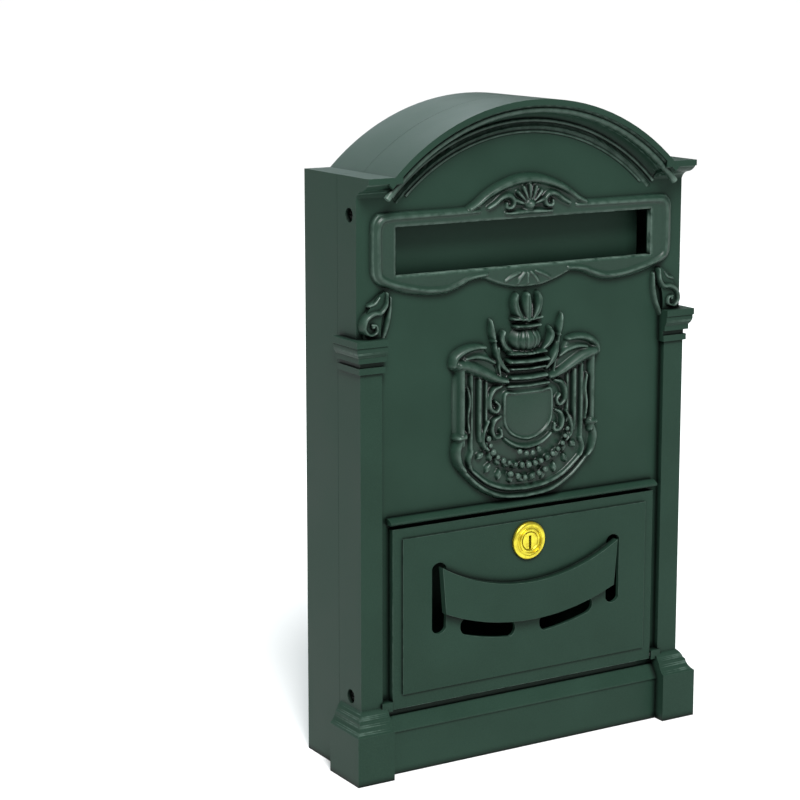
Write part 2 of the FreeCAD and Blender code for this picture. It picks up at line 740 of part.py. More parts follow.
def make_front_frame():
    body = new_body("front_frame")
    skirt = new_sketch(body, "front", S.seam_out)
    outline(skirt, house(Size.of(0)))
    pad(body, skirt, S.face_out - S.seam_out)
    add_cornice(body)
    add_capitals(body)
    add_plinth(body)
    add_pilasters(body)
    add_consoles(body)
    add_cartouche(body)
    add_ledge(body)

    # Hinge ears close the channel between pilaster and door at the foot of the door.
    ears = new_sketch(body, "front", S.face_out - EMBED)
    for side in SIDES:
        box_outline(
            ears,
            *span(side, door_half + 0.6, pilaster_inner + 1, hinge_high - S.barrel_radius, hinge_high + S.barrel_radius),
        )
    pad(body, ears, hinge_out + S.barrel_radius - S.face_out + EMBED)

    hollow = new_sketch(body, "front", S.seam_out)
    outline(hollow, house(S.cast_wall))
    pocket(body, hollow, inside_out - S.seam_out, reverse=True)

    bosses = new_sketch(body, "front", S.seam_out + 2)
    lugs = new_sketch(body, "front", rod_out - roll_radius)
    for side in SIDES:
        for high in SCREW_HEIGHTS:
            low, top = high - S.boss_wide / 2, high + S.boss_wide / 2
            box_outline(bosses, *span(side, boss_face, half_body - S.cast_wall / 2, low, top))
        lug_top = rod_high + roll_radius + 1.5
        box_outline(lugs, *span(side, lug_inner, lug_inner + S.lug_thick, slot_top + 0.5, lug_top))
    pad(body, bosses, inside_out - S.seam_out - 1)
    pad(body, lugs, inside_out - rod_out + roll_radius + 0.5)
    # The strike rib over the door opening is what the cam catches behind.
    strike = new_sketch(body, "front", cam_front + S.strike_gap)
    box_outline(strike, -11, opening_high + 1.5, 11, opening_high + 5.5)
    pad(body, strike, inside_out - cam_front - S.strike_gap + 0.5)

    openings = new_sketch(body, "front", S.face_out + 12)
    box_outline(openings, -slot_half, slot_low, slot_half, slot_top)
    box_outline(openings, -opening_half, opening_low, opening_half, opening_high)
    for high in CREST_STUDS:
        circle(openings, 0, high, S.crest_stud / 2 + S.seat_fit)
    pocket(body, openings, S.cast_wall + 14)

    for side in SIDES:
        outer = side * (half_body + PAST)
        counterbores = new_sketch(body, "side", outer)
        clearance = new_sketch(body, "side", outer)
        for high in SCREW_HEIGHTS:
            circle(counterbores, -screw_out, high, S.counterbore / 2)
            circle(clearance, -screw_out, high, S.screw_dia / 2 + 0.2)
        pocket(body, counterbores, S.counterbore_deep + PAST, reverse=side < 0)
        pocket(body, clearance, S.cast_wall + S.boss_thick + 2 * PAST, reverse=side < 0)
        pin_hole = new_sketch(body, "side", side * (door_half - PAST))
        circle(pin_hole, -hinge_out, hinge_high, S.hinge_pin / 2 + S.seat_fit)
        pocket(body, pin_hole, pin_end - door_half + PAST, reverse=side > 0)
    rod_hole = new_sketch(body, "side")
    circle(rod_hole, -rod_out, rod_high, S.flap_rod / 2 + S.seat_fit)
    pocket(body, rod_hole, (lug_inner + S.lug_thick + PAST) * 2, midplane=True)
    return body


# ---------------------------------------------------------------------------------------------------------
# Crest: a shield shaped plaque on two studs, with a finial over it
# ---------------------------------------------------------------------------------------------------------


def make_crest():
    body = new_body("crest")
    half = S.crest_wide / 2
    roll = 6
    waist = crest_low + (crest_shoulder - crest_low) * 0.3
    spear = S.crest_spears / 2
    outer = spear + S.crest_spear_wide / 2
    inner = spear - S.crest_spear_wide / 2
    foot = S.crest_finial / 2
    tip = foot * 0.6
    right = [
        (half * 0.9, waist, S.crest_wide * 1.6),
        (half, crest_shoulder - roll, roll * 1.2),
        (half - roll, crest_shoulder, -S.crest_wide * 0.6),
        (outer, crest_shoulder - roll),
        (spear + 0.6, (crest_shoulder + S.crest_spear_tall)),
        (spear - 0.6, (crest_shoulder + S.crest_spear_tall)),
        (inner, crest_shoulder),
        (foot, crest_shoulder),
        (tip, crest_high - tip / 2, tip * 1.25),
    ]
    left = [
        (-tip, crest_high - tip / 2),
        (-foot, crest_shoulder),
        (-inner, crest_shoulder),
        (0.6 - spear, (crest_shoulder + S.crest_spear_tall)),
        (-spear - 0.6, (crest_shoulder + S.crest_spear_tall)),
        (-outer, crest_shoulder - roll, -S.crest_wide * 0.6),
        (roll - half, crest_shoulder, roll * 1.2),
        (-half, crest_shoulder - roll, S.crest_wide * 1.6),
        (-half * 0.9, waist, S.crest_wide * 0.62),
    ]
    plaque = new_sketch(body, "front", S.face_out)
    outline(plaque, [(0, crest_low, S.crest_wide * 0.62), *right, *left])
    pad(body, plaque, S.crest_proud)
    studs = new_sketch(body, "front", S.face_out)
    for high in CREST_STUDS:
        circle(studs, 0, high, S.crest_stud / 2)
    pad(body, studs, S.cast_wall + S.crest_stud_long, reverse=True)
    return body


def make_push_nut(label, high):
    """A push-on nut that holds one of the crest's studs behind the wall."""
    body = new_body(label)
    nut = new_sketch(body, "front", inside_out)
    circle(nut, 0, high, S.crest_stud)
    circle(nut, 0, high, S.crest_stud / 2 + S.seat_fit)
    pad(body, nut, S.push_nut_thick, reverse=True)
    return body


# ---------------------------------------------------------------------------------------------------------
# Door
# ---------------------------------------------------------------------------------------------------------


def ribbon_low_edge(x):
    """Height of the ribbon's lower edge at a distance x from the centre line."""
    bend = S.ribbon_low_bend
    end = S.ribbon_half - S.ribbon_taper
    return ribbon_low + root(bend * bend - end * end) - root(bend * bend - x * x)


def add_ribbon(body):
    """The raised ribbon curved like a smile. Its front stands clear in front of the slots beside it."""
    end = S.ribbon_half - S.ribbon_taper
    ribbon = new_sketch(body, "front", door_front - EMBED)
    outline(
        ribbon,
        [
            (-end, ribbon_low, S.ribbon_low_bend),
            (end, ribbon_low),
            (S.ribbon_half, ribbon_tip, -S.ribbon_top_bend),
            (-S.ribbon_half, ribbon_tip),
        ],
    )
    pad(body, ribbon, S.ribbon_proud + EMBED)


def cut_sight_slots(body):
    """Two slots that follow the ribbon's lower edge, and an upright slot at each end of it."""
    slots = new_sketch(body, "front", door_front)
    near, far = S.sight_from, S.sight_from + S.sight_long
    tall = S.sight_tall
    cap = tall * CAP_BEND
    for side in SIDES:
        outline(
            slots,
            [
                (side * near, ribbon_low_edge(near) - tall, side * S.ribbon_low_bend),
                (side * far, ribbon_low_edge(far) - tall, side * cap),
                (side * far, ribbon_low_edge(far), -side * S.ribbon_low_bend),
                (side * near, ribbon_low_edge(near), side * cap),
            ],
        )
        inner, outer = S.end_slot_from, S.end_slot_from + S.end_slot_wide
        low, high = end_slot_low, end_slot_low + S.end_slot_tall
        cap_end = S.end_slot_wide * CAP_BEND
        outline(
            slots,
            [
                (side * outer, low + cap_end),
                (side * outer, high - cap_end, side * cap_end),
                (side * inner, high - cap_end),
                (side * inner, low + cap_end, side * cap_end),
            ],
        )
    pocket(body, slots, S.door_thick + PAST)


def make_door_panel():
    body = new_body("door_panel")
    barrel = S.barrel_radius
    slab = new_sketch(body, "side")
    outline(
        slab,
        [
            (-door_back, hinge_high, -barrel),
            (-hinge_out, hinge_high - barrel, -barrel),
            (-(hinge_out + barrel), hinge_high),
            (-door_front, hinge_high + 0.6),
            (-door_front, S.door_high),
            (-door_back, S.door_high),
        ],
    )
    pad(body, slab, door_half * 2, midplane=True)
    add_ribbon(body)

    border = new_sketch(body, "front", door_front)
    edge = S.door_border
    box_outline(border, -door_half - PAST, hinge_high - 5, door_half + PAST, S.door_high + PAST)
    outline(
        border,
        [
            (-(door_half - edge), hinge_high + edge),
            (door_half - edge, hinge_high + edge),
            (door_half - edge, S.door_high - edge),
            (-(door_half - edge), S.door_high - edge),
        ],
    )
    pocket(body, border, S.door_field)

    hollow = new_sketch(body, "front", door_back)
    rim = S.door_rim
    box_outline(hollow, -(door_half - rim), hinge_high + rim + 1, door_half - rim, S.door_high - rim)
    pocket(body, hollow, S.door_thick - S.door_skin, reverse=True)
    scoop = new_sketch(body, "front", door_back)
    end = S.ribbon_half - S.ribbon_taper
    skin, wall = S.door_skin, S.ribbon_wall
    outline(
        scoop,
        [
            (wall - end, ribbon_low + skin, S.ribbon_low_bend - skin),
            (end - wall, ribbon_low + skin),
            (S.ribbon_half - wall, ribbon_tip - skin * 1.6, -(S.ribbon_top_bend + skin)),
            (wall - S.ribbon_half, ribbon_tip - skin * 1.6),
        ],
    )
    pocket(body, scoop, S.door_thick + S.ribbon_proud - S.door_skin, reverse=True)
    cut_sight_slots(body)

    lock_hole = new_sketch(body, "front", door_front + PAST)
    circle(lock_hole, 0, lock_high, S.lock_barrel / 2 + SLIP)
    pocket(body, lock_hole, S.door_thick + 2 * PAST)
    for side in SIDES:
        pin_hole = new_sketch(body, "side", side * (door_half + PAST))
        circle(pin_hole, -hinge_out, hinge_high, S.hinge_pin / 2 + S.running_fit)
        pocket(body, pin_hole, S.hinge_pin_long * PIN_IN_DOOR + PIN_ROOM + PAST, reverse=side < 0)
    return body


def make_hinge_pin(side, label):
    body = new_body(label)
    tip = new_sketch(body, "side", side * pin_end)
    circle(tip, -hinge_out, hinge_high, S.hinge_pin / 2)
    pad(body, tip, S.hinge_pin_long, reverse=side > 0)
    return body


# ---------------------------------------------------------------------------------------------------------
# Lock
# ---------------------------------------------------------------------------------------------------------


def make_lock_housing():
    """The brass head and threaded barrel, turned in one."""
    body = new_body("lock_housing")
    face = door_front + S.lock_head_thick
    turned = new_sketch(body, "side")
    turning_axis(turned, -door_front, lock_high, -face, lock_high)
    bore = S.lock_plug / 2 + S.running_fit
    head = lock_head / 2
    outline(
        turned,
        [
            (-cam_front, lock_high + bore),
            (-cam_front, lock_high + S.lock_barrel / 2),
            (-door_front, lock_high + S.lock_barrel / 2),
            (-door_front, lock_high + head),
            (-(door_front + S.lock_head_thick * 0.45), lock_high + head),
            (-face, lock_high + head - 1.6),
            (-face, lock_high + bore),
        ],
    )
    revolve(body, turned)
    return body


def make_lock_plug():
    """The part that the key turns, with a square shank for the cam and a tapped hole in its end."""
    body = new_body("lock_plug")
    face = door_front + S.lock_head_thick
    front = new_sketch(body, "front", face)
    circle(front, 0, lock_high, S.lock_plug / 2)
    pad(body, front, face - cam_front, reverse=True)
    shank = new_sketch(body, "front", cam_front)
    half = S.cam_square / 2
    box_outline(shank, -half, lock_high - half, half, lock_high + half)
    pad(body, shank, S.cam_thick, reverse=True)
    keyway = new_sketch(body, "front", face)
    slot = S.key_slot_wide / 2
    keyway_low = lock_high - S.key_slot_tall * KEYWAY_UNDER_AXIS
    box_outline(keyway, -slot, keyway_low, slot, keyway_low + S.key_slot_tall)
    pocket(body, keyway, 9)
    tapped = new_sketch(body, "front", cam_front - S.cam_thick - PAST)
    circle(tapped, 0, lock_high, S.cam_screw / 2 + S.seat_fit)
    pocket(body, tapped, 8, reverse=True)
    return body


def make_lock_cam():
    """The arm that catches behind the strike rib. It lies level when the door is free."""
    body = new_body("lock_cam")
    plate = new_sketch(body, "front", cam_front)
    half = S.cam_wide / 2
    outline(
        plate,
        [
            (0, lock_high - half),
            (S.cam_long - 4, lock_high - half + 1.5, CAM_TIP_BEND),
            (S.cam_long, lock_high, CAM_TIP_BEND),
            (S.cam_long - 4, lock_high + half - 1.5),
            (0, lock_high + half, half * CAM_HUB_BEND),
            (-half, lock_high, half * CAM_HUB_BEND),
        ],
    )
    hole = S.cam_square / 2 + S.seat_fit
    box_outline(plate, -hole, lock_high - hole, hole, lock_high + hole)
    pad(body, plate, S.cam_thick, reverse=True)
    return body


def make_cam_screw():
    body = new_body("cam_screw")
    back = cam_front - S.cam_thick
    head = new_sketch(body, "front", back)
    circle(head, 0, lock_high, S.cam_square * 0.8)
    pad(body, head, S.cam_screw_head, reverse=True)
    shank = new_sketch(body, "front", back)
    circle(shank, 0, lock_high, S.cam_screw / 2)
    pad(body, shank, S.cam_screw_long)
    return body


def make_lock_washer():
    body = new_body("lock_washer")
    ring = new_sketch(body, "front", door_front - S.door_skin)
    circle(ring, 0, lock_high, nut_flats * 0.56)
    circle(ring, 0, lock_high, S.lock_barrel / 2 + SLIP)
    pad(body, ring, S.lock_washer_thick, reverse=True)
    return body


def make_lock_nut():
    body = new_body("lock_nut")
    hexagon = new_sketch(body, "front", door_front - S.door_skin - S.lock_washer_thick)
    corner = nut_flats / (2 * math.cos(math.radians(30)))
    turns = [math.radians(60 * i + 30) for i in range(6)]
    outline(hexagon, [(corner * math.cos(a), lock_high + corner * math.sin(a)) for a in turns])
    circle(hexagon, 0, lock_high, S.lock_barrel / 2 + S.seat_fit)
    pad(body, hexagon, S.lock_nut_thick, reverse=True)
    return body


# ---------------------------------------------------------------------------------------------------------
# Flap, its rod and clips
# ---------------------------------------------------------------------------------------------------------


def make_slot_flap():
    """A sheet with its top edge rolled round the rod. It hangs behind the slot and swings into the box."""
    body = new_body("slot_flap")
    eye = S.flap_rod / 2 + S.running_fit
    plate = new_sketch(body, "side")
    low = slot_low - S.flap_lap
    box_outline(plate, -flap_front, low, -(flap_front - S.flap_sheet), rod_high)
    pad(body, plate, flap_wide, midplane=True)
    roll = new_sketch(body, "side")
    circle(roll, -rod_out, rod_high, roll_radius)
    pad(body, roll, flap_wide, midplane=True)
    bore = new_sketch(body, "side")
    circle(bore, -rod_out, rod_high, eye)
    pocket(body, bore, flap_wide + 2 * PAST, midplane=True)
    return body


def make_flap_rod():
    body = new_body("flap_rod")
    rod = new_sketch(body, "side")
    circle(rod, -rod_out, rod_high, S.flap_rod / 2)
    pad(body, rod, rod_half * 2, midplane=True)
    return body


def make_flap_clip(side, label):
    """A push-on clip outside a lug keeps the rod in."""
    body = new_body(label)
    clip = new_sketch(body, "side", side * (lug_inner + S.lug_thick))
    circle(clip, -rod_out, rod_high, S.clip_wide / 2)
    circle(clip, -rod_out, rod_high, S.flap_rod / 2 + S.seat_fit)
    pad(body, clip, S.clip_thick, reverse=side < 0)
    return body


# ---------------------------------------------------------------------------------------------------------
# Screws that join the front casting to the casing
# ---------------------------------------------------------------------------------------------------------


def make_side_screw(side, high, label):
    """A round headed screw, sunk in its counterbore, that threads into a lug of the casing."""
    body = new_body(label)
    seat = half_body - S.counterbore_deep
    head = new_sketch(body, "side", side * seat)
    circle(head, -screw_out, high, S.screw_head / 2)
    pad(body, head, S.screw_head_thick, reverse=side < 0)
    shank = new_sketch(body, "side", side * seat)
    circle(shank, -screw_out, high, S.screw_dia / 2)
    pad(body, shank, seat - (boss_face - S.lug_sheet) + 1.5, reverse=side > 0)
    drive = new_sketch(body, "side", side * (seat + S.screw_head_thick))
    arm, thin = S.screw_head * 0.3, S.screw_head * 0.075
    box_outline(drive, -screw_out - arm, high - thin, -screw_out + arm, high + thin)
    pocket(body, drive, S.screw_head_thick * 0.55, reverse=side < 0)
    cross = new_sketch(body, "side", side * (seat + S.screw_head_thick))
    box_outline(cross, -screw_out - thin, high - arm, -screw_out + thin, high + arm)
    pocket(body, cross, S.screw_head_thick * 0.55, reverse=side < 0)
    return body


# ---------------------------------------------------------------------------------------------------------
# Build, check and write
# ---------------------------------------------------------------------------------------------------------


def make_pieces():
    pieces = [
        make_rear_casing(),
        make_front_frame(),
        make_crest(),
        make_push_nut("crest_push_nut_low", CREST_STUDS[0]),
        make_push_nut("crest_push_nut_high", CREST_STUDS[1]),
        make_door_panel(),
        make_hinge_pin(-1, "door_pin_left"),
        make_hinge_pin(1, "door_pin_right"),
        make_lock_housing(),
        make_lock_washer(),
        make_lock_nut(),
        make_lock_plug(),
        make_lock_cam(),
        make_cam_screw(),
        make_slot_flap(),
        make_flap_rod(),
        make_flap_clip(-1, "flap_clip_left"),
        make_flap_clip(1, "flap_clip_right"),
    ]
    for side, hand in ((-1, "left"), (1, "right")):
        for high, level in zip(SCREW_HEIGHTS, ("low", "high")):
            pieces.append(make_side_screw(side, high, f"side_screw_{hand}_{level}"))
    return pieces


def check(pieces):
    """Stops if any object failed to compute or any piece is not one sound solid."""
    doc.recompute()
    for made in doc.Objects:
        if "Invalid" in made.State or "Error" in made.State:
            raise ValueError(f"{made.Name} did not compute")
    for piece in pieces:
        shape = piece.Shape
        if shape.isNull() or not shape.isValid() or len(shape.Solids) != 1:
            raise ValueError(f"{piece.Label} is not one sound solid")


pieces = make_pieces()
check(pieces)
os.makedirs("parts", exist_ok=True)
for piece in pieces:
    piece.Shape.exportStep(f"parts/{piece.Label}.step")
    print(f"{piece.Label}: {piece.Shape.Volume / 1000:.2f} cm3")
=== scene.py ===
# %% [markdown]
# # A cast aluminium wall mailbox
#
# The mailbox is a front casting with an arched head, screwed to a deep casing that hangs on the wall. A sheet
# flap closes the letter slot from inside, and a door at the foot drops forward. The design model already holds
# every part at its true size and place, so this script only gives the parts their looks: rounded edges, the
# cast ornament and the finishes.

# %% Load the frame
import math

import bmesh
import bpy
import numpy as np
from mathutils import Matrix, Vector


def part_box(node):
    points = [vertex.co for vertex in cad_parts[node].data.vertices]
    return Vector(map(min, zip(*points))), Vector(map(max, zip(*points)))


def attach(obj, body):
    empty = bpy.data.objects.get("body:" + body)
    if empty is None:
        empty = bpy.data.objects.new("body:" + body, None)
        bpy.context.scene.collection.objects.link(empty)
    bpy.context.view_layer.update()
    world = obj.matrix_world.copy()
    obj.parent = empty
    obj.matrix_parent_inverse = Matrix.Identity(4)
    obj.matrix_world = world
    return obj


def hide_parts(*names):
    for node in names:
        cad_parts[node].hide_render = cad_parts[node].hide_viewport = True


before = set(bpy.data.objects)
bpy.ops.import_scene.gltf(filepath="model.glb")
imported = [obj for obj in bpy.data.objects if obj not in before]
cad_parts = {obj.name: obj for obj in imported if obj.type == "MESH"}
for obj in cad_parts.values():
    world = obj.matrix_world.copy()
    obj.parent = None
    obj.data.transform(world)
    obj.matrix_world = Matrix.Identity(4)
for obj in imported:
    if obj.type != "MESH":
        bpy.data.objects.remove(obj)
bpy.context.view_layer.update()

MM = 0.001

# %% [markdown]
# ## Places to measure from
#
# Every place comes from the box of a CAD part. Ornament is easiest to draw in millimetres, across from the
# centre line and up from the feet of the mailbox, so one small function turns such a pair into metres.

# %% Reference places
CREST_PROUD = 6.5
FLAP_LAP = 2
SLOT_TALL = 29.5
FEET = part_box("front_frame")[0].z
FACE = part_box("crest")[0].y + CREST_PROUD * MM
SLOT_HALF = round(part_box("slot_flap")[1].x / MM) + 0.5
SLOT_LOW = round(2 * ((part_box("slot_flap")[0].z - FEET) / MM + FLAP_LAP)) / 2
SLOT_TOP = SLOT_LOW + SLOT_TALL


def place(across, out, up):
    """A point in metres from millimetres: across from the centre, out from the plain face, up from the feet."""
    return Vector((across * MM, FACE - out * MM, FEET + up * MM))


print("plain face at", round(FACE, 4), "m, slot half", SLOT_HALF, "mm, from", SLOT_LOW, "to", SLOT_TOP, "mm")

# %% [markdown]
# ## Shader maths in plain Python
#
# A procedural finish is a long chain of small sums. Written as Python expressions they stay readable: a `Value`
# wraps a socket, and each operator adds the Math node that does its work.


# %% Values and finishes
class Value:
    """A socket that varies over the surface."""

    def __init__(self, finish, socket):
        self.finish = finish
        self.socket = socket

    def math(self, operation, *terms):
        return self.finish.node("ShaderNodeMath", {"operation": operation}, dict(enumerate(terms)))

    def __add__(self, other):
        return self.math("ADD", self, other)

    def __radd__(self, other):
        return self.math("ADD", other, self)

    def __sub__(self, other):
        return self.math("SUBTRACT", self, other)

    def __rsub__(self, other):
        return self.math("SUBTRACT", other, self)

    def __mul__(self, other):
        return self.math("MULTIPLY", self, other)

    def __rmul__(self, other):
        return self.math("MULTIPLY", other, self)

    def __pow__(self, power):
        return self.math("POWER", self, power)

    def sine(self):
        return self.math("SINE", self)

    def between(self, low, high):
        """Stretches the part from low to high over 0 to 1, and cuts the rest off."""
        return self.finish.node("ShaderNodeMapRange", {"clamp": True}, {"Value": self, "From Min": low, "From Max": high})


class Finish:
    """A material whose nodes are all made by one method."""

    def __init__(self, name):
        self.material = bpy.data.materials.new(name)
        self.material.use_nodes = True
        self.tree = self.material.node_tree
        self.tree.nodes.clear()

    def node(self, kind, settings=None, inputs=None, output=0):
        made = self.tree.nodes.new(kind)
        for name, value in (settings or {}).items():
            setattr(made, name, value)
        for name, value in (inputs or {}).items():
            if isinstance(value, Value):
                self.tree.links.new(value.socket, made.inputs[name])
            else:
                made.inputs[name].default_value = value
        return Value(self, made.outputs[output]) if made.outputs else made

    def place(self):
        return self.node("ShaderNodeTexCoord", output="Object")

    def noise(self, size, detail=2.0):
        """Noise from 0 to 1 whose blotches are about size metres across."""
        return self.node("ShaderNodeTexNoise", None, {"Vector": self.place(), "Scale": 1 / size, "Detail": detail})

    def mix(self, factor, first, second):
        return self.node("ShaderNodeMix", {"data_type": "RGBA"}, {0: factor, 6: first, 7: second}, output=2)

    def corners(self, reach):
        """1 in the open, falling to 0 deep in a corner narrower than reach."""
        return self.node("ShaderNodeAmbientOcclusion", {"samples": 8}, {"Distance": reach}, output="AO")

    def bump(self, height, strength, distance):
        return self.node("ShaderNodeBump", None, {"Height": height, "Strength": strength, "Distance": distance})

    def shader(self, **inputs):
        named = {name.replace("_", " "): value for name, value in inputs.items()}
        surface = self.node("ShaderNodeBsdfPrincipled", None, named)
        self.node("ShaderNodeOutputMaterial", None, {"Surface": surface})
        return self.material


# %% [markdown]
# ## Powder coat
#
# The castings wear a very dark green-grey powder coat. Close up such paint isn't smooth: it has a fine grain and
# a slight orange peel. Its raised edges are painted paler, partly as wear and partly as a painted highlight, and
# painted shade darkens the corners. Grain and peel go into a Bump node, and the rest into the colour and the roughness.

# %% Powder coat
# The deepest colour below is painted shade for the corners.
COAT_PAINTED_SHADE = (0.0010, 0.0030, 0.0020, 1.0)
COAT_DARK = (0.0094, 0.0264, 0.0172, 1.0)
COAT_MAIN = (0.0162, 0.0402, 0.0278, 1.0)
# The palest colour is for raised edges, partly wear and partly a painted highlight.
COAT_WEAR_AND_HIGHLIGHT = (0.1200, 0.1800, 0.1500, 1.0)
GRAIN = 0.5 * MM
PEEL = 1.8 * MM
BLOTCH = 60 * MM
EDGE_MARK = "rounded_edge"


def rounded_edges(finish):
    """1 on the narrow rounded edges of a casting, as marked on its faces, and 0 on its flat areas. The coat paints
    these edges paler, partly as wear and partly as a painted highlight.
    """
    return finish.node("ShaderNodeAttribute", {"attribute_name": EDGE_MARK}, output="Fac")


def high_points(finish):
    """1 on the ridges of a relief, whose mesh is fine enough for Pointiness to find them. The coat paints these ridges
    paler, partly as wear and partly as a painted highlight.
    """
    return finish.node("ShaderNodeNewGeometry", output="Pointiness").between(0.505, 0.575)


def powder_coat(name, edges_of, wear_and_highlight, painted_shade_reach, shine=0.12, dull=0.42):
    """The coat. The first number, from 0 to 1, sets how strongly the marked edges are painted pale, partly as wear and
    partly as a painted highlight; the second is how far the painted shade in a corner reaches.
    """
    finish = Finish(name)
    blotches = finish.noise(BLOTCH, detail=3.0).between(0.35, 0.65)
    grain = finish.noise(GRAIN, detail=1.0)
    peel = finish.noise(PEEL)
    shade = finish.mix(blotches * 0.4 + grain.between(0.3, 0.7) * 0.6, COAT_DARK, COAT_MAIN)
    scuffs = finish.noise(5 * MM, detail=4.0).between(0.3, 0.6)
    # Raised edges are painted paler: partly wear, partly a painted highlight.
    wear_and_highlight_mix = finish.mix(edges_of(finish) * scuffs * wear_and_highlight, shade, COAT_WEAR_AND_HIGHLIGHT)
    # Painted shade: the colour darkens to a near-black green deep in corners and narrow gaps.
    colour = finish.mix(finish.corners(painted_shade_reach).between(0.55, 0.93), COAT_PAINTED_SHADE, wear_and_highlight_mix)
    bump = finish.bump(grain * 0.6 + peel, 0.30, 0.10 * MM)
    roughness = dull + 0.08 * blotches + 0.06 * grain
    return finish.shader(Base_Color=colour, Roughness=roughness, Specular_IOR_Level=shine, Normal=bump)


coat = powder_coat("powder_coat", rounded_edges, 0.35, 5 * MM)
# The flap's coat is a copy with a longer reach of painted shade, so a dark rim of painted shade lines the slot.
coat_shaded_in_slot = powder_coat("powder_coat_shaded_in_the_slot", rounded_edges, 0.35, 14 * MM)
# The ornament's coat is glossier, and its ridges get much more of the pale paint, partly wear and partly a painted
# highlight.
coat_on_ornament = powder_coat("powder_coat_on_ornament", high_points, 0.80, 4 * MM, shine=0.25, dull=0.28)
print("coats:", coat.name, coat_shaded_in_slot.name, coat_on_ornament.name)

# %% [markdown]
# ## Metals
#
# The lock is polished brass with faint turning marks, so its bump follows the distance from the lock's axis. The
# screws, pins, clips and nuts inside are plated or blackened steel, mottled where the plating is thin.

# %% Brass and steels
LOCK_AXIS = sum(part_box("lock_housing"), Vector()) / 2
RING = 0.5 * MM


def brass(name, clean, tarnished):
    """Turned brass with rings about the lock's axis."""
    finish = Finish(name)
    about = finish.node("ShaderNodeMapping", None, {"Vector": finish.place(), "Location": -LOCK_AXIS})
    across = finish.node("ShaderNodeSeparateXYZ", None, {"Vector": about}, output="X")
    up = finish.node("ShaderNodeSeparateXYZ", None, {"Vector": about}, output="Z")
    distance = (across * across + up * up) ** 0.5
    tarnish = finish.noise(4 * MM, detail=4.0).between(0.4, 0.75)
    metal = finish.mix(tarnish, clean, tarnished)
    colour = finish.mix(finish.corners(1.5 * MM).between(0.1, 0.8), tarnished, metal)
    bump = finish.bump((distance * (2 * math.pi / RING)).sine(), 0.10, 0.02 * MM)
    return finish.shader(Base_Color=colour, Metallic=0.9, Roughness=0.26 + 0.16 * tarnish, Normal=bump)


def plated(name, light, dark, roughness):
    """Steel with a thin plating, spotted and scuffed."""
    finish = Finish(name)
    spots = finish.noise(1.2 * MM, detail=4.0).between(0.4, 0.7)
    scuffs = finish.noise(6 * MM, detail=5.0).between(0.3, 0.8)
    colour = finish.mix(spots * 0.6 + scuffs * 0.4, light, dark)
    bump = finish.bump(spots, 0.2, 0.03 * MM)
    return finish.shader(Base_Color=colour, Metallic=1.0, Roughness=roughness + 0.15 * scuffs, Normal=bump)


lock_brass = brass("lock_brass", (0.78, 0.70, 0.060, 1.0), (0.52, 0.40, 0.035, 1.0))
zinc = plated("zinc_plate", (0.60, 0.61, 0.60, 1.0), (0.36, 0.36, 0.33, 1.0), 0.28)
spring_steel = plated("phosphated_steel", (0.10, 0.10, 0.10, 1.0), (0.045, 0.044, 0.042, 1.0), 0.42)
black_steel = plated("blackened_steel", (0.030, 0.033, 0.032, 1.0), (0.012, 0.013, 0.012, 1.0), 0.38)
print("metals:", lock_brass.name, zinc.name, spring_steel.name, black_steel.name)

# %% [markdown]
# ## Rounded castings
#
# A die casting has no sharp edges, because the mould and the coat round them all, and it is those narrow rounds
# that catch the light. The CAD mesh is loose triangles, so a copy is merged, its flat areas are joined up, and a
# Bevel modifier rounds what is sharper than the steps of a curve. The CAD object is left alone and only hidden.

# %% Helpers for pieces
SHARP = math.radians(30)
CREASE = math.radians(50)
TURN = math.radians(4)
WELD = 0.002 * MM


def add_object(name, mesh):
    made = bpy.data.objects.new(name, mesh)
    bpy.context.scene.collection.objects.link(made)
    return made


def apply_modifiers(piece):
    """Turns a piece and its modifiers into one plain mesh."""
    depsgraph = bpy.context.evaluated_depsgraph_get()
    mesh = bpy.data.meshes.new_from_object(piece.evaluated_get(depsgraph))
    piece.modifiers.clear()
    piece.data = mesh


def settle(piece, body, slot, material, *stands_for):
    """Gives a finished piece its material and its body, and hides the CAD parts it stands for. The slot is not used."""
    piece.data.materials.clear()
    piece.data.materials.append(material)
    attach(piece, body)
    if stands_for:
        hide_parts(*stands_for)
    print(piece.name, "rides on", body, "with", len(piece.data.polygons), "faces")
    return piece


def mark_edges(mesh, width):
    """Marks the faces narrower than width that turn a corner, which are those of the rounding."""
    work = bmesh.new()
    work.from_mesh(mesh)
    marks = mesh.attributes.new(EDGE_MARK, "FLOAT", "FACE")
    for face in work.faces:
        narrow = 2 * face.calc_area() < width * face.calc_perimeter()
        turns = max(face.edges, key=bmesh.types.BMEdge.calc_length).calc_face_angle(0) > TURN
        marks.data[face.index].value = float(narrow and turns)
    work.free()


def rounded_copy(node, name, width):
    """A merged copy of a CAD part with rounded edges."""
    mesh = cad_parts[node].data.copy()
    work = bmesh.new()
    work.from_mesh(mesh)
    bmesh.ops.remove_doubles(work, verts=work.verts, dist=WELD)
    bmesh.ops.dissolve_limit(work, angle_limit=math.radians(0.4), verts=work.verts, edges=work.edges)
    work.to_mesh(mesh)
    work.free()
    piece = add_object(name, mesh)
    bevel = piece.modifiers.new("rounding", "BEVEL")
    bevel.width = width
    bevel.segments = 2
    bevel.angle_limit = SHARP
    apply_modifiers(piece)
    mark_edges(piece.data, width)
    piece.data.set_sharp_from_angle(angle=CREASE)
    piece.modifiers.new("flat_areas_stay_flat", "WEIGHTED_NORMAL").keep_sharp = True
    apply_modifiers(piece)
    return piece


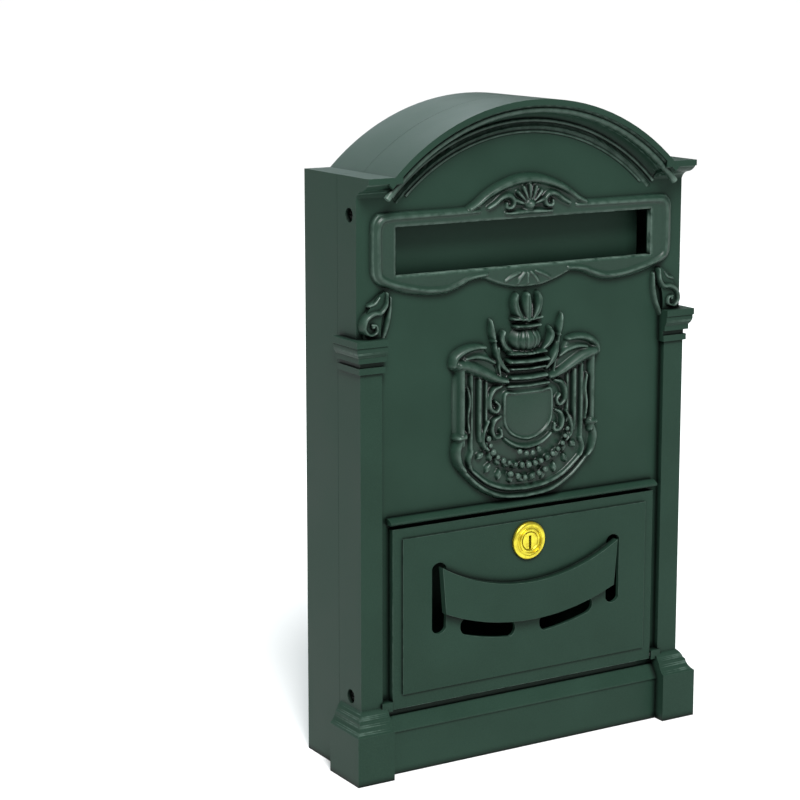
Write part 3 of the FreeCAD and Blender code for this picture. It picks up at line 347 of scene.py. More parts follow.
# %% The castings and the flap
settle(rounded_copy("front_frame", "front_casting", 0.7 * MM), "box", "coated_casting", coat, "front_frame")
settle(rounded_copy("rear_casing", "back_casting", 0.7 * MM), "box", "coated_casting", coat, "rear_casing")
settle(rounded_copy("door_panel", "door_casting", 0.6 * MM), "door", "coated_casting", coat, "door_panel")
settle(rounded_copy("slot_flap", "flap_sheet", 0.3 * MM), "flap", "coated_casting", coat_shaded_in_slot, "slot_flap")

# %% [markdown]
# ## Drawing a relief
#
# Cast ornament is a surface that only rises and falls, so it can be kept as a grid of heights, as a carver works
# on a board. Each stroke, dome and plateau is a height over that grid, and joining two of them with a smooth
# maximum leaves the small fillet that a pattern maker would file. The grid then becomes a closed mesh whose rim
# is sunk a little below the plain face, so the outline that shows is the smooth line where the two meet.

# %% The relief board
SUNK = 0.8
SEEN = -0.25
BACK = 1.3
FAR = 99.0


def curve_through(points, steps=6):
    """A rounded line through points, with any extra columns carried along."""
    points = np.array(points, float)
    padded = np.vstack([2 * points[0] - points[1], points, 2 * points[-1] - points[-2]])
    part = np.linspace(0, 1, steps, endpoint=False)[:, None]
    runs = []
    for before, start, end, after in zip(padded, padded[1:], padded[2:], padded[3:]):
        bend = 2 * before - 5 * start + 4 * end - after
        twist = 3 * start - before - 3 * end + after
        runs.append(start + 0.5 * part * (end - before + part * (bend + part * twist)))
    return np.vstack(runs + [points[-1:]])


class Relief:
    """A board of heights in millimetres over across and up, drawn on both sides of the centre line."""

    def __init__(self, half, low, high, step):
        across = np.arange(-half, half + step / 2, step)
        up = np.arange(low, high + step / 2, step)
        self.across, self.up = np.meshgrid(across, up)
        self.side = np.abs(self.across)
        self.height = np.full(self.side.shape, -SUNK)

    def join(self, height, blend):
        """A smooth maximum of the board and a new height."""
        share = np.clip(0.5 + 0.5 * (height - self.height) / blend, 0, 1)
        self.height = self.height * (1 - share) + height * share + blend * share * (1 - share)

    def nearness(self, line):
        """Distance from a line as a share of its half width, which is the line's third column."""
        nearest = np.full(self.side.shape, FAR)
        for start, end in zip(line, line[1:]):
            run = end[:2] - start[:2]
            reach = (self.side - start[0]) * run[0] + (self.up - start[1]) * run[1]
            part = np.clip(reach / max(run @ run, 1e-9), 0, 1)
            gap = np.hypot(self.side - start[0] - part * run[0], self.up - start[1] - part * run[1])
            nearest = np.minimum(nearest, gap / (start[2] + part * (end[2] - start[2])))
        return nearest

    def stroke(self, points, rise, base=0.0, blend=0.5, straight=False):
        """A rounded bead along a line of (across, up, half width) points."""
        line = np.array(points, float) if straight else curve_through(points)
        self.join(base + rise * (1 - self.nearness(line) ** 2), blend)

    def cut(self, points, depth, straight=False):
        """A rounded groove along a line of (across, up, half width) points."""
        line = np.array(points, float) if straight else curve_through(points)
        self.height -= depth * np.clip(1 - self.nearness(line) ** 2, 0, 1)

    def dome(self, across, up, wide, tall, rise, base=0.0, blend=0.5):
        away = ((self.side - across) / wide) ** 2 + ((self.up - up) / tall) ** 2
        self.join(base + rise * (1 - away), blend)

    def inside(self, outline):
        """Distance inside a closed outline, and less than 0 outside it."""
        closed = np.vstack([outline, outline[:1]])
        nearest = np.full(self.side.shape, FAR)
        within = np.zeros(self.side.shape, bool)
        for start, end in zip(closed, closed[1:]):
            run = end - start
            reach = (self.side - start[0]) * run[0] + (self.up - start[1]) * run[1]
            part = np.clip(reach / max(run @ run, 1e-9), 0, 1)
            gap = np.hypot(self.side - start[0] - part * run[0], self.up - start[1] - part * run[1])
            nearest = np.minimum(nearest, gap)
            if start[1] != end[1]:
                crossing = start[0] + (self.up - start[1]) * run[0] / run[1]
                within ^= ((self.up >= start[1]) != (self.up >= end[1])) & (self.side < crossing)
        return np.where(within, nearest, -nearest)

    def plateau(self, points, rise, edge, base=0.0, blend=0.5, straight=False):
        """A flat rise with rounded edges inside an outline drawn on one side and closed on the centre line."""
        outline = np.array(points, float) if straight else curve_through(points)
        outline = np.vstack([[-outline[0, 0] - 20, outline[0, 1]], outline, [-outline[-1, 0] - 20, outline[-1, 1]]])
        depth = np.minimum(self.inside(outline) / edge, 1)
        self.join(base + rise * (1 - (1 - depth) ** 2), blend)

    def soften(self, times):
        """Blurs the board lightly, as a coat of paint does."""
        for _ in range(times):
            padded = np.pad(self.height, 1, mode="edge")
            upright = (padded[:-2] + 2 * padded[1:-1] + padded[2:]) / 4
            self.height = (upright[:, :-2] + 2 * upright[:, 1:-1] + upright[:, 2:]) / 4

    def mesh(self, name, hole=None):
        """A closed mesh of the part of the board that rises above the face."""
        rows, columns = self.height.shape
        shown = self.height > SEEN
        cells = shown[:-1, :-1] | shown[1:, :-1] | shown[:-1, 1:] | shown[1:, 1:]
        if hole is not None:
            cells &= ~hole
        height = np.maximum(self.height, -SUNK)
        across, up = self.across * MM, FEET + self.up * MM
        front = np.stack([across, FACE - height * MM, up], -1).reshape(-1, 3)
        back = np.stack([across, np.full(across.shape, FACE + BACK * MM), up], -1).reshape(-1, 3)
        number = np.arange(rows * columns).reshape(rows, columns)
        corner = number[:-1, :-1][cells]
        quads = np.stack([corner, corner + 1, corner + columns + 1, corner + columns], -1)
        total = rows * columns
        padded = np.pad(cells, 1)
        walls = []
        for down, right, first, second in ((-1, 0, 0, 1), (0, 1, 1, 1 + columns), (1, 0, 1 + columns, columns), (0, -1, columns, 0)):
            open_side = cells & ~padded[1 + down:rows + down, 1 + right:columns + right]
            start = number[:-1, :-1][open_side]
            walls.append(np.stack([start + second, start + first, start + first + total, start + second + total], -1))
        faces = np.vstack([quads, quads[:, ::-1] + total] + walls)
        used, faces = np.unique(faces, return_inverse=True)
        mesh = bpy.data.meshes.new(name)
        mesh.from_pydata(np.vstack([front, back])[used].tolist(), [], faces.reshape(-1, 4).tolist())
        smooth = np.zeros(len(mesh.polygons), bool)
        smooth[:len(quads)] = True
        mesh.polygons.foreach_set("use_smooth", smooth)
        return mesh


# %% [markdown]
# ## The frame round the letter slot
#
# A raised frame runs round the slot, with rolled ends, a waved lower edge and a low gable on top that holds a
# shell between two scrolls. It is drawn a little larger and higher than the plain rise in the design, so that
# it covers it, and its inner edge is turned over into the slot.

# %% Slot frame
frame_board = Relief(112, 292, 366, 0.5)
FRAME_OUTLINE = [
    (0, 364.2), (9, 363.4), (17, 361.4), (24, 358.4), (30, 354.6), (36, 349.8), (41.5, 347), (48, 346.2),
    (75, 346.2), (103, 346.2), (107.5, 345), (110.3, 341), (110.8, 335), (110.8, 314), (109.8, 308),
    (106, 303.6), (99, 301), (87, 297.2), (73, 294.9), (60, 294.6), (50, 297), (41, 300.8), (33, 302),
    (26, 299.4), (19, 297), (10, 294.8), (0, 294.2),
]
ROLL = [
    (36, 343.4, 1.6), (48, 343.2, 2.0), (75, 343, 2.1), (98, 342.8, 2.3), (104.4, 341, 2.5), (106.4, 335, 2.7),
    (106.4, 325, 2.8), (106.2, 314, 2.7), (104.6, 307.6, 2.5), (97, 303.6, 2.2), (85, 300.4, 2.0), (73, 298, 2.0),
    (60, 297.6, 2.0), (51, 299.8, 1.9), (42, 303.2, 1.7), (30, 304.6, 1.3),
]
HOOD = [(42.5, 345, 1.6), (37, 347.5, 2), (31, 351.6, 2.3), (24, 355.2, 2.6), (16, 358.2, 2.8), (8, 360.2, 3), (0, 360.8, 3.1)]
frame_board.plateau(FRAME_OUTLINE, 2.8, 1.3)
frame_board.stroke(ROLL, 2.0, base=2.3, blend=0.4)
frame_board.stroke(HOOD, 3.0, base=2.2, blend=0.8)
SCROLL = [
    (30, 345, 1.3), (25, 347.5, 1.8), (20, 350.8, 2.1), (15, 351.6, 2.2), (11.5, 348.6, 2), (12.8, 344.8, 1.8),
    (16.6, 344.6, 1.5), (17, 347.4, 1.2),
]
frame_board.stroke(SCROLL, 3.6, base=2.6)
for turn in (0, 24, 48, 72):
    sine, cosine = math.sin(math.radians(turn)), math.cos(math.radians(turn))
    lobe = [(4 * sine, 345 + 4 * cosine, 0.9), (9 * sine, 345 + 9.5 * cosine, 1.9), (11.5 * sine, 345 + 12.5 * cosine, 1.5)]
    frame_board.stroke(lobe, 3.8, base=2.4, blend=0.3)
frame_board.dome(0, 345.6, 4.6, 4, 5.6, base=2.6, blend=0.3)
frame_board.stroke([(0, 341.6, 2.2), (6, 341.2, 1.8), (12, 340.9, 1.3), (17, 341, 0.9)], 3.2, base=2.5)
for foot in ([(0, 303, 1.5), (0, 297.5, 1.2)], [(2.5, 303.5, 1.2), (6, 300, 1.5), (7.5, 297.4, 0.9)],
             [(6, 304, 1.1), (12, 301.8, 1.4), (16.5, 299.4, 0.8)]):
    frame_board.stroke(foot, 1.6, base=2.6, blend=0.3)
LIP = 0.2
ROUND = 1.0
slot_gap = np.maximum(frame_board.side - SLOT_HALF, np.maximum(SLOT_LOW - frame_board.up, frame_board.up - SLOT_TOP))
turned = np.clip(1 - slot_gap / ROUND, 0, 1)
frame_board.height -= ROUND * (1 - np.sqrt(1 - 0.92 * turned ** 2))
frame_board.soften(1)
inner = slot_gap < -LIP
slot_cells = inner[:-1, :-1] | inner[1:, :-1] | inner[:-1, 1:] | inner[1:, 1:]
for side in (-SLOT_HALF, SLOT_HALF):
    edge = np.isclose(frame_board.across, side) & (frame_board.up >= SLOT_LOW) & (frame_board.up <= SLOT_TOP)
    frame_board.across[edge] -= math.copysign(LIP, side)
for level, lift in ((SLOT_LOW, LIP), (SLOT_TOP, -LIP)):
    edge = np.isclose(frame_board.up, level) & (frame_board.side <= SLOT_HALF)
    frame_board.up[edge] += lift
slot_frame = add_object("slot_frame", frame_board.mesh("slot_frame", slot_cells))
settle(slot_frame, "box", "coated_casting", coat_on_ornament)

# %% [markdown]
# ## The crest
#
# The badge on the face is a mantle gathered over a plain shield, with a covered urn above it, two spears and a
# garland of leaves below. It is a stock heraldic shape with an empty shield. It is drawn in the order in which
# the layers lie on each other: ground, folds, rims, shield, urn and leaves.

# %% Crest ground, mantle and rims
crest_board = Relief(58.05, 158, 295, 0.45)
GROUND = [
    (0, 247), (14, 246), (18, 241), (26, 243.5), (33, 246.5), (41, 249), (50, 247), (53, 240), (53.4, 225), (52.8, 208),
    (51.5, 196), (48.5, 186.5), (41.5, 178), (31, 169.6), (17, 163.4), (0, 161.5),
]
crest_board.plateau(GROUND, 1.7, 1.6)
MANTLE = [(19, 240), (22, 247), (27, 254), (32, 260.5), (42, 260.5), (51, 257.5), (55, 251), (50, 246), (40, 244), (28, 241)]
crest_board.plateau(MANTLE, 2.6, 2.5)
crest_board.stroke([(31, 259.6, 1.5), (38, 260.2, 2.2), (46, 258.6, 2.8), (52, 254.8, 3.2), (53.4, 250.4, 3)], 4.6, base=0.8)
crest_board.stroke([(24, 249.5, 1.2), (31, 253, 2.0), (38, 254.4, 2.2), (45, 253.6, 1.8)], 3.4, base=1.4)
crest_board.stroke(
    [(16, 237.5, 2.2), (21, 238.6, 3), (28, 241.6, 3.9), (36, 245.6, 4.6), (43.5, 248.8, 4.9), (50, 250.2, 4.2)], 6.8, base=0.6,
)
for across, top, foot, wide, rise in (
    (48.4, 247, 201, 3.3, 6.2), (41.2, 243, 194, 2.3, 4.4), (35.4, 240, 202, 2.4, 5.2), (30.3, 238, 207, 1.6, 4.2),
):
    crest_board.stroke([(across, top, wide), (across, foot + 8, wide), (across - 0.6, foot, wide * 0.8)], rise, base=0.4)
crest_board.stroke([(49, 203, 3.1), (51, 196.5, 3.4), (49.4, 189, 3), (46, 184.4, 1.8)], 5.8, base=0.6)
crest_board.stroke([(47, 206, 3.8), (51, 205.4, 2.6)], 6.4, base=1)
crest_board.stroke([(40.8, 196, 2.4), (42.6, 190, 2.5), (41, 184.6, 1.6)], 4.6, base=0.6)
crest_board.stroke(
    [(51.2, 193, 1.6), (48, 186.6, 2), (41.5, 179.4, 2.1), (32, 171.6, 2.2), (18, 165, 2.3), (0, 163.2, 2.4)], 4.4, base=0.4,
)
crest_board.stroke(
    [(42.5, 186, 1.6), (36.5, 180.4, 1.9), (27, 173.6, 2), (14, 169.2, 2.1), (0, 168, 2.2)], 3.6, base=0.8,
)
print("crest ground drawn on", crest_board.height.size, "points")

# %% Shield, urn and spears
SHIELD = [(0, 228.6), (10, 228.8), (16.2, 229.4), (17.2, 222), (16.6, 212), (12.4, 205.6), (6, 202.4), (0, 201.4)]
crest_board.plateau(SHIELD, 2.4, 1.2, base=2.0, blend=0.3)
crest_board.dome(0, 217, 17, 19, 1.6, base=4.0, blend=0.8)
RIM = [(0, 229.2, 1.3), (10, 229.3, 1.3), (16.6, 229.6, 1.5), (17.6, 222, 1.4), (17, 211.4, 1.5), (12.6, 204.8, 1.5), (6, 201.2, 1.4), (0, 200, 1.6)]
crest_board.stroke(RIM, 3.2, base=2.6, blend=0.3)
for up, half, wide, rise in ((233.4, 15, 2, 6.2), (238.4, 13, 2.3, 7.2), (244, 12.5, 1.7, 6.4), (248.6, 14, 2.4, 7.6), (253.4, 12.6, 1.9, 6.8)):
    crest_board.stroke([(0, up, wide), (half, up + 0.6, wide * 0.8)], rise, base=0.6, blend=0.4)
crest_board.dome(0, 261.5, 12.4, 9.4, 7.6, base=0.4)
for across in (3.2, 7.4):
    crest_board.cut([(across * 0.6, 254, 0.7), (across, 261, 0.8), (across * 0.7, 268, 0.6)], 1.1)
crest_board.stroke([(0, 270.4, 1.8), (8.5, 270.8, 1.6)], 6.4, base=0.4, blend=0.3)
crest_board.stroke([(0, 274.4, 1.6), (10.5, 275.4, 1.3)], 5.4, base=0.4, blend=0.3)
for leaf in (
    [(0, 274, 3), (0, 282, 4.6), (0, 289.5, 2.4)], [(4, 274.5, 2.2), (7.6, 280, 3), (9, 286, 2.6), (8, 290.4, 1.4)],
    [(11, 255, 1.2), (16, 258.4, 2.2), (18.6, 263.4, 2.3), (17, 268, 1.2)], [(14, 243, 1.4), (18.6, 247.4, 2.4), (21.6, 253, 2.4), (21.4, 258.6, 1.1)],
):
    crest_board.stroke(leaf, 5.0, base=0.6, blend=0.4)
    crest_board.cut([(across, up, 0.6) for across, up, _ in leaf], 0.8)
for shaft in ([(19, 236, 1.3), (22, 252, 1.3), (24.4, 266, 1.2)], [(24, 263.4, 1.3), (25.2, 268.6, 2.5), (26.4, 276.4, 0.5)]):
    crest_board.stroke(shaft, 4.2, base=0.4, blend=0.3)
crest_board.dome(24, 263, 2.4, 1.5, 5, base=0.4, blend=0.3)

# %% Scrolls and leaves round the shield
for scroll in (
    [(20, 235, 1.4), (25, 233, 2), (28.2, 228, 2.2), (27.6, 221.6, 2.1), (23.4, 219, 1.9), (21.4, 222.6, 1.7), (24, 225.4, 1.3)],
    [(20.4, 216, 1.2), (24.6, 213.6, 2), (26.4, 208.6, 2.2), (24.4, 203.4, 2.1), (20, 203.4, 1.8), (20, 207.4, 1.4)],
    [(29, 214, 1), (32.6, 207, 2), (32.8, 200, 2.1), (29, 195.6, 1.4)],
    [(44.6, 236, 1.0), (43.2, 228, 1.4), (44.4, 218, 1.4), (43.4, 208, 1.0)],
):
    crest_board.stroke(scroll, 4.6, base=1.6, blend=0.4)
for across, up, turn, long in (
    (30, 201, 20, 9), (28, 194, -10, 9), (23.6, 190, -34, 9), (18, 187, -52, 9), (11.6, 184.6, -68, 8), (5, 183, -82, 7),
    (33, 194, 48, 8), (27.6, 186.4, 28, 9), (20.4, 181.6, 8, 9), (13, 178.4, -16, 9), (6, 176.6, -44, 8),
):
    lean = math.radians(turn)
    tip = (across + long * math.sin(lean) * 0.6, up - long * math.cos(lean) * 0.6)
    middle = (across + long * math.sin(lean) * 0.3, up - long * math.cos(lean) * 0.3)
    leaf = [(across, up, 1), (*middle, 2.5), (*tip, 0.6)]
    crest_board.stroke(leaf, 3.6, base=2.0, blend=0.3, straight=True)
    crest_board.cut([(across, up, 0.5), (*middle, 0.6), (*tip, 0.4)], 0.7, straight=True)
crest_board.stroke([(0, 194.6, 2.6), (7, 195.6, 2.2), (13, 198.4, 1.6), (17.4, 201.6, 1)], 4.2, base=2.2, blend=0.4)
crest_board.soften(1)
crest = add_object("crest_badge", crest_board.mesh("crest_badge"))
settle(crest, "box", "coated_casting", coat_on_ornament, "crest")

# %% [markdown]
# ## Scroll brackets
#
# Above each capital a small S-scroll is cast on the front face, as if it held up the arched head. The board is
# mirrored about the centre line, so one drawing gives both.

# %% Scroll brackets
bracket_board = Relief(119, 262, 301, 0.4)
bracket_board.stroke(
    [(100.8, 298.5, 1.2), (101.4, 292, 2.0), (104.8, 287.4, 2.4), (110, 286.8, 2.6), (115, 283.6, 2.6), (116.2, 278, 2.4),
     (113, 274.2, 2.2), (108.4, 275.6, 1.9), (108.4, 279.6, 1.6), (111.6, 280.6, 1.3)], 5.2, base=0.2,
)
bracket_board.stroke([(97.6, 295.5, 1.2), (98.2, 286, 1.9), (100.4, 277, 1.9), (104.6, 268.6, 1.6)], 2.8, base=0.2)
bracket_board.stroke([(105.2, 296.5, 0.9), (108.4, 292.8, 1.8), (112.4, 291.6, 1.4)], 3.4, base=0.2)
bracket_board.dome(110.6, 279.2, 2.3, 2.3, 5, base=0.6)
bracket_board.soften(1)
brackets = add_object("scroll_brackets", bracket_board.mesh("scroll_brackets"))
settle(brackets, "box", "coated_casting", coat_on_ornament)

# %% [markdown]
# ## Patterns that repeat or follow a path
#
# Beads that follow the arch, berries along a garland and four equal screws could each be modelled by hand, but
# a Geometry Nodes tree says the rule once and takes its sizes as named inputs. The result is turned into a plain
# mesh, because only a mesh is kept when the model is exported.


# %% Geometry Nodes helper
def turn_outwards(mesh):
    work = bmesh.new()
    work.from_mesh(mesh)
    bmesh.ops.remove_doubles(work, verts=work.verts, dist=WELD)
    bmesh.ops.recalc_face_normals(work, faces=work.faces)
    work.to_mesh(mesh)
    work.free()


class Pattern:
    """A Geometry Nodes tree with named sizes, whose nodes are all made by one method."""

    def __init__(self, name, sizes):
        self.sizes = sizes
        self.tree = bpy.data.node_groups.new(name, "GeometryNodeTree")
        face = self.tree.interface
        face.new_socket("Geometry", in_out="INPUT", socket_type="NodeSocketGeometry")
        face.new_socket("Geometry", in_out="OUTPUT", socket_type="NodeSocketGeometry")
        for label, value in sizes.items():
            kind = "NodeSocketInt" if isinstance(value, int) else "NodeSocketFloat"
            face.new_socket(label, in_out="INPUT", socket_type=kind)
        self.given = self.tree.nodes.new("NodeGroupInput").outputs

    def node(self, kind, settings=None, inputs=None, output=0):
        made = self.tree.nodes.new(kind)
        for name, value in (settings or {}).items():
            setattr(made, name, value)
        for name, value in (inputs or {}).items():
            for source in value if isinstance(value, list) else [value]:
                if isinstance(source, bpy.types.NodeSocket):
                    self.tree.links.new(source, made.inputs[name])
                else:
                    made.inputs[name].default_value = source
        return made.outputs[output]

    def math(self, operation, first, second=0.0):
        return self.node("ShaderNodeMath", {"operation": operation}, {0: first, 1: second})

    def vector(self, x=0.0, y=0.0, z=0.0):
        return self.node("ShaderNodeCombineXYZ", None, {"X": x, "Y": y, "Z": z})

    def moved(self, geometry, **how):
        return self.node("GeometryNodeTransform", None, {"Geometry": geometry, **how})

    def end(self, geometry, material):
        real = self.node("GeometryNodeRealizeInstances", None, {"Geometry": geometry})
        smooth = self.node("GeometryNodeSetShadeSmooth", None, {"Geometry": real})
        coated = self.node("GeometryNodeSetMaterial", None, {"Geometry": smooth, "Material": material})
        self.tree.links.new(coated, self.tree.nodes.new("NodeGroupOutput").inputs[0])

    def grow(self, name, points, edges=()):
        """Runs the tree on some points, and gives back a plain object whose faces are turned outwards."""
        mesh = bpy.data.meshes.new(name)
        mesh.from_pydata([tuple(point) for point in points], list(edges), [])
        piece = add_object(name, mesh)
        modifier = piece.modifiers.new(name, "NODES")
        modifier.node_group = self.tree
        for item in self.tree.interface.items_tree:
            if item.item_type == "SOCKET" and item.name in self.sizes:
                modifier[item.identifier] = self.sizes[item.name]
        apply_modifiers(piece)
        turn_outwards(piece.data)
        piece.data.set_sharp_from_angle(angle=CREASE)
        return piece


# %% [markdown]
# ## Beads under the arch
#
# The moulding of the arched head has a roll under its lip and fine beads beside the broad one. Each is a round
# section swept along an arc, so the tree sweeps a circle along three arcs that share a centre.

# %% Arch beads
ARCH_CENTRE = 265
SHOULDER_FOOT = 355
ARCH_LINES = (("Roll", 138.7, 11.0, 2.1), ("Fine bead", 131.6, 0.5, 1.15), ("Inner bead", 124.7, 0.2, 0.8))
arch_sizes = {}
for label, radius, out, half_wide in ARCH_LINES:
    arch_sizes |= {f"{label} radius": radius * MM, f"{label} out": out * MM, f"{label} half width": half_wide * MM}
arch = Pattern("arch_beads", arch_sizes)
sweeps = []
for label, *_ in ARCH_LINES:
    radius = arch.given[f"{label} radius"]
    half_angle = arch.math("ARCCOSINE", arch.math("DIVIDE", (SHOULDER_FOOT - ARCH_CENTRE) * MM, radius))
    start = arch.math("SUBTRACT", math.pi / 2, half_angle)
    whole = arch.math("MULTIPLY", half_angle, 2.0)
    arc = arch.node(
        "GeometryNodeCurveArc", None, {"Resolution": 97, "Radius": radius, "Start Angle": start, "Sweep Angle": whole},
    )
    ring = {"Resolution": 20, "Radius": arch.given[f"{label} half width"]}
    section = arch.node("GeometryNodeCurvePrimitiveCircle", None, ring)
    swept = arch.node("GeometryNodeCurveToMesh", None, {"Curve": arc, "Profile Curve": section, "Fill Caps": True})
    centre = arch.vector(0.0, arch.math("SUBTRACT", FACE, arch.given[f"{label} out"]), FEET + ARCH_CENTRE * MM)
    sweeps.append(arch.moved(swept, Translation=centre, Rotation=(math.pi / 2, 0, 0)))
arch.end(arch.node("GeometryNodeJoinGeometry", None, {"Geometry": sweeps}), coat_on_ornament)
settle(arch.grow("arch_beads", [(0, 0, 0)]), "box", "coated_casting", coat_on_ornament)

# %% [markdown]
# ## Berries in the garland
#
# Berries sit on the garland and on the boss under it. The tree walks along each line that it is given, and sets
# down a small ball at equal steps, a little larger or smaller each time.

# %% Berries
berries = Pattern(
    "berries", {"Berry radius": 1.75 * MM, "Spacing": 4.6 * MM, "Smallest": 0.8, "Largest": 1.2, "Seed": 4},
)
given = berries.given
vines = berries.node("GeometryNodeMeshToCurve", None, {"Mesh": given["Geometry"]})
steps = berries.node("GeometryNodeResampleCurve", {"mode": "LENGTH"}, {"Curve": vines, "Length": given["Spacing"]})
ball = berries.node("GeometryNodeMeshIcoSphere", None, {"Radius": given["Berry radius"], "Subdivisions": 3})
growth = berries.node(
    "FunctionNodeRandomValue", {"data_type": "FLOAT"},
    {2: given["Smallest"], 3: given["Largest"], "Seed": given["Seed"]}, output=1,
)
scattered = berries.node("GeometryNodeInstanceOnPoints", None, {"Points": steps, "Instance": ball, "Scale": growth})
berries.end(scattered, coat_on_ornament)
GARLAND = (
    [(-29.6, 5.0, 203), (-26, 5.2, 194), (-18.6, 5.4, 188), (-9.4, 5.6, 184.6), (0, 5.8, 183.4), (9.4, 5.6, 184.6),
     (18.6, 5.4, 188), (26, 5.2, 194), (29.6, 5.0, 203)],
    [(-13, 5.4, 178.8), (-6, 5.8, 176.4), (0, 6.0, 175.6), (6, 5.8, 176.4), (13, 5.4, 178.8)],
    [(-7, 6.2, 192.6), (0, 6.6, 190.6), (7, 6.2, 192.6)],
)
vine_points, vine_edges = [], []
for line in GARLAND:
    first = len(vine_points)
    vine_points += [place(*point) for point in curve_through(line)]
    vine_edges += [(index, index + 1) for index in range(first, len(vine_points) - 1)]
settle(berries.grow("garland_berries", vine_points, vine_edges), "box", "coated_casting", coat_on_ornament)

# %% [markdown]
# ## Casing screws
#
# Four dome headed screws, two a side, sit in counterbores and join the castings. The tree cuts one screw, a
# flattened ball less a cross recess, and sets a copy at each point with its axis turned out to that side.

# %% Casing screws
SCREWS = [f"side_screw_{side}_{level}" for side in ("left", "right") for level in ("low", "high")]
HEAD_TALL = 2.2 * MM
screw_low, screw_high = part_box(SCREWS[0])
screws = Pattern("casing_screws", {
    "Head radius": (screw_high.z - screw_low.z) / 2, "Head height": HEAD_TALL, "Shank radius": 2 * MM,
    "Shank length": screw_high.x - screw_low.x - HEAD_TALL, "Recess length": 4.4 * MM, "Recess width": 1.1 * MM,
    "Recess depth": 1.4 * MM,
})
given = screws.given
globe = {"Segments": 40, "Rings": 24, "Radius": given["Head radius"]}
flatness = screws.math("DIVIDE", given["Head height"], given["Head radius"])
dome = screws.moved(screws.node("GeometryNodeMeshUVSphere", None, globe), Scale=screws.vector(1.0, 1.0, flatness))
wide = screws.math("MULTIPLY", given["Head radius"], 3.0)
under = screws.node("GeometryNodeMeshCube", None, {"Size": screws.vector(wide, wide, given["Head radius"])})
halfway = screws.vector(z=screws.math("MULTIPLY", given["Head radius"], -0.5))
cutters = [screws.moved(under, Translation=halfway)]
twice_deep = screws.math("MULTIPLY", given["Recess depth"], 2.0)
for along, across in (("Recess length", "Recess width"), ("Recess width", "Recess length")):
    arm = screws.node("GeometryNodeMeshCube", None, {"Size": screws.vector(given[along], given[across], twice_deep)})
    cutters.append(screws.moved(arm, Translation=screws.vector(z=given["Head height"])))
head = screws.node("GeometryNodeMeshBoolean", {"operation": "DIFFERENCE"}, {"Mesh 1": dome, "Mesh 2": cutters})
rod = {"Vertices": 32, "Radius": given["Shank radius"], "Depth": given["Shank length"]}
sunk = screws.vector(z=screws.math("MULTIPLY", given["Shank length"], -0.499))
shank = screws.moved(screws.node("GeometryNodeMeshCylinder", None, rod), Translation=sunk)
screw = screws.node("GeometryNodeJoinGeometry", None, {"Geometry": [head, shank]})
spot = screws.node("GeometryNodeInputPosition")
sideways = screws.node("ShaderNodeVectorMath", {"operation": "MULTIPLY"}, {0: spot, 1: (1.0, 0.0, 0.0)})
turn = screws.node("FunctionNodeAlignRotationToVector", {"axis": "Z"}, {"Vector": sideways})
copies = {"Points": given["Geometry"], "Instance": screw, "Rotation": turn}
screws.end(screws.node("GeometryNodeInstanceOnPoints", None, copies), black_steel)
seats = []
for node in SCREWS:
    low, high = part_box(node)
    seat = max(abs(low.x), abs(high.x)) - HEAD_TALL
    seats.append((math.copysign(seat, low.x), (low.y + high.y) / 2, (low.z + high.z) / 2))
settle(screws.grow("casing_screws", seats), "box", "black_steel", black_steel, *SCREWS)

# %% [markdown]
# ## The lock's face
#
# The brass head is turned on a lathe: a rounded rim, a fine groove and a flat ring round the plug that the key
# turns. A closed section spun about the lock's axis gives exactly that, and the plug is a rounded copy.


# %% Lock head and plug
def turned(name, section, axis, turns=128):
    """Spins a closed section of (y, radius) pairs in metres about an axis along Y."""
    angles = np.arange(turns) * 2 * math.pi / turns
    ring = np.array(section)
    points = [(axis.x + radius * math.cos(a), y, axis.z + radius * math.sin(a)) for a in angles for y, radius in ring]
    count = len(section)
    faces = []
    for turn in range(turns):
        here, after = turn * count, (turn + 1) % turns * count
        faces += [(here + i, here + (i + 1) % count, after + (i + 1) % count, after + i) for i in range(count)]
    mesh = bpy.data.meshes.new(name)
    mesh.from_pydata(points, [], faces)
    for polygon in mesh.polygons:
        polygon.use_smooth = True
    turn_outwards(mesh)
    mesh.set_sharp_from_angle(angle=SHARP)
    return add_object(name, mesh)


lock_low, lock_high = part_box("lock_housing")
front_y, back_y = lock_low.y, lock_high.y
seat_y = front_y + 2.2 * MM
rim = (lock_high.x - lock_low.x) / 2
bore, barrel = 5.56 * MM, 8 * MM
THREADS, THREAD_DEEP = 11, 0.35 * MM
thread = [(back_y, bore), (back_y, barrel - THREAD_DEEP)]
for index in range(THREADS):
    crest_y = back_y + (seat_y - 3.5 * MM - back_y) * (index + 0.5) / THREADS
    root_y = back_y + (seat_y - 3.5 * MM - back_y) * (index + 1) / THREADS
    thread += [(crest_y, barrel), (root_y, barrel - THREAD_DEEP)]
face_section = thread + [(seat_y - 3.3 * MM, barrel), (seat_y, barrel), (seat_y, rim)] + [
    (front_y + depth * MM, rim - inward * MM)
    for depth, inward in (
        (1.3, 0), (0.9, 0.08), (0.55, 0.3), (0.25, 0.7), (0.06, 1.2), (0, 1.7), (0, 2.6), (0.08, 2.8), (0.25, 2.95),
        (0.25, 3.35), (0.08, 3.5), (0, 3.7), (0, 5.6), (0.1, 5.85), (0.4, 6.1),
    )
] + [(front_y + 0.9 * MM, bore)]
settle(turned("lock_face", face_section, LOCK_AXIS), "door", "brass", lock_brass, "lock_housing")
settle(rounded_copy("lock_plug", "key_plug", 0.25 * MM), "lock", "brass", lock_brass, "lock_plug")

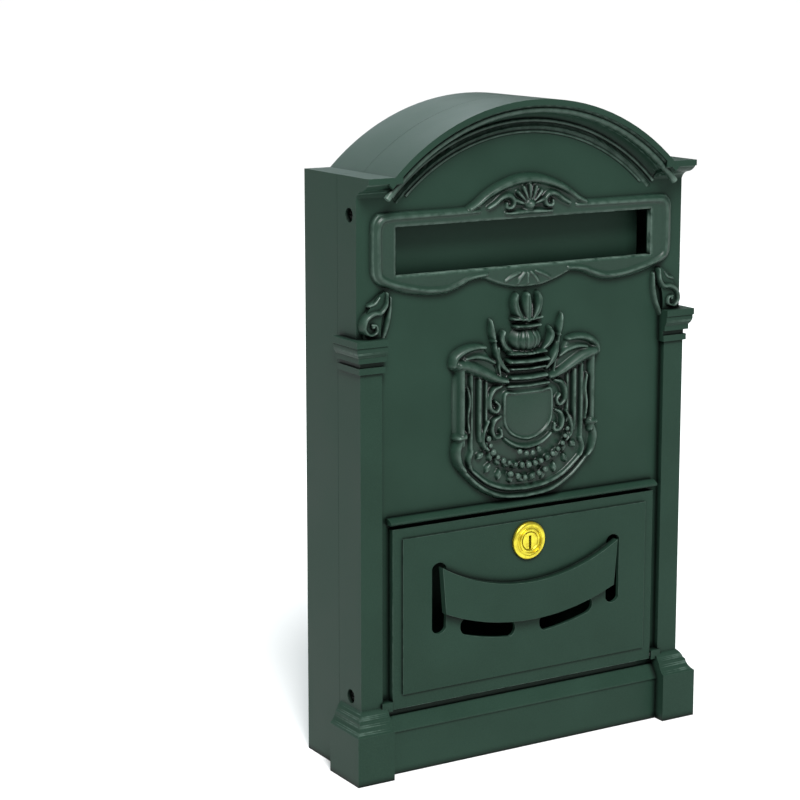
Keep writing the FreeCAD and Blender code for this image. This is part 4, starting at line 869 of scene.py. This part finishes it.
# %% Finishes of the parts kept from the design
for node, material in (
    ("crest_push_nut_low", spring_steel), ("crest_push_nut_high", spring_steel), ("door_pin_left", zinc),
    ("door_pin_right", zinc), ("lock_washer", zinc),
    ("lock_nut", zinc), ("lock_cam", zinc), ("cam_screw", zinc), ("flap_rod", zinc), ("flap_clip_left", spring_steel),
    ("flap_clip_right", spring_steel),
):
    for place_for_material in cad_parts[node].material_slots:
        place_for_material.material = material

# %% [markdown]
# ## Camera, floor and light
#
# The camera stands to the left and a little above, as a buyer would look at the box on a shelf. A large soft
# light above and behind draws the sheen along the arched roof, and weak light from the front keeps the dark
# coat readable without washing it out.


# %% Camera, floor and light
def soft_light(name, power, wide, tall, where, aim, colour=(1, 1, 1)):
    data = bpy.data.lights.new(name, "AREA")
    data.color = colour
    data.shape = "RECTANGLE"
    data.energy = power
    data.size = wide
    data.size_y = tall
    light = add_object(name, data)
    light.location = where
    light.rotation_euler = (Vector(aim) - Vector(where)).to_track_quat("-Z", "Y").to_euler()


camera_data = bpy.data.cameras.new("camera")
camera_data.lens = 100.6
camera_data.shift_y = -0.05
camera = add_object("camera", camera_data)
camera.location = (-0.7699, -1.1858, 0.2929)
camera.rotation_euler = (math.radians(90 - 10.39), 0, math.radians(-31.18))
bpy.context.scene.camera = camera

soft_light("roof_light", 34, 2.4, 1.2, (0.2, 2.0, 1.6), (0, 0, 0.1), (0.84, 0.97, 1.0))
soft_light("key_light", 8, 0.3, 0.5, (-0.5, -0.9, 1.0), (0, 0, 0.15))

sun_data = bpy.data.lights.new("sun", "SUN")
sun_data.energy = 3.6
sun_data.angle = math.radians(25)
sun = add_object("sun", sun_data)
sun.rotation_euler = Vector((-0.22, -0.58, 0.78)).to_track_quat("Z", "Y").to_euler()

floor_mesh = bpy.data.meshes.new("floor")
FLOOR_REACH = 40.0
floor_mesh.from_pydata([(x, y, FEET) for x, y in ((-1, -1), (1, -1), (1, 1), (-1, 1))], [], [(0, 1, 2, 3)])
for vertex in floor_mesh.vertices:
    vertex.co.xy *= FLOOR_REACH
floor = add_object("floor", floor_mesh)
paper = Finish("pale_floor")
floor_mesh.materials.append(paper.shader(Base_Color=(0.9, 0.9, 0.9, 1.0), Roughness=0.9))

world = bpy.data.worlds.new("studio")
world.use_nodes = True
sky = world.node_tree
ray = sky.nodes.new("ShaderNodeLightPath")
strength = sky.nodes.new("ShaderNodeMapRange")
strength.inputs["To Min"].default_value = 0.28
strength.inputs["To Max"].default_value = 1.0
sky.links.new(ray.outputs["Is Camera Ray"], strength.inputs["Value"])
sky.links.new(strength.outputs["Result"], sky.nodes["Background"].inputs["Strength"])
sky.nodes["Background"].inputs["Color"].default_value = (1, 1, 1, 1)
bpy.context.scene.world = world
bpy.context.scene.view_settings.view_transform = "Standard"
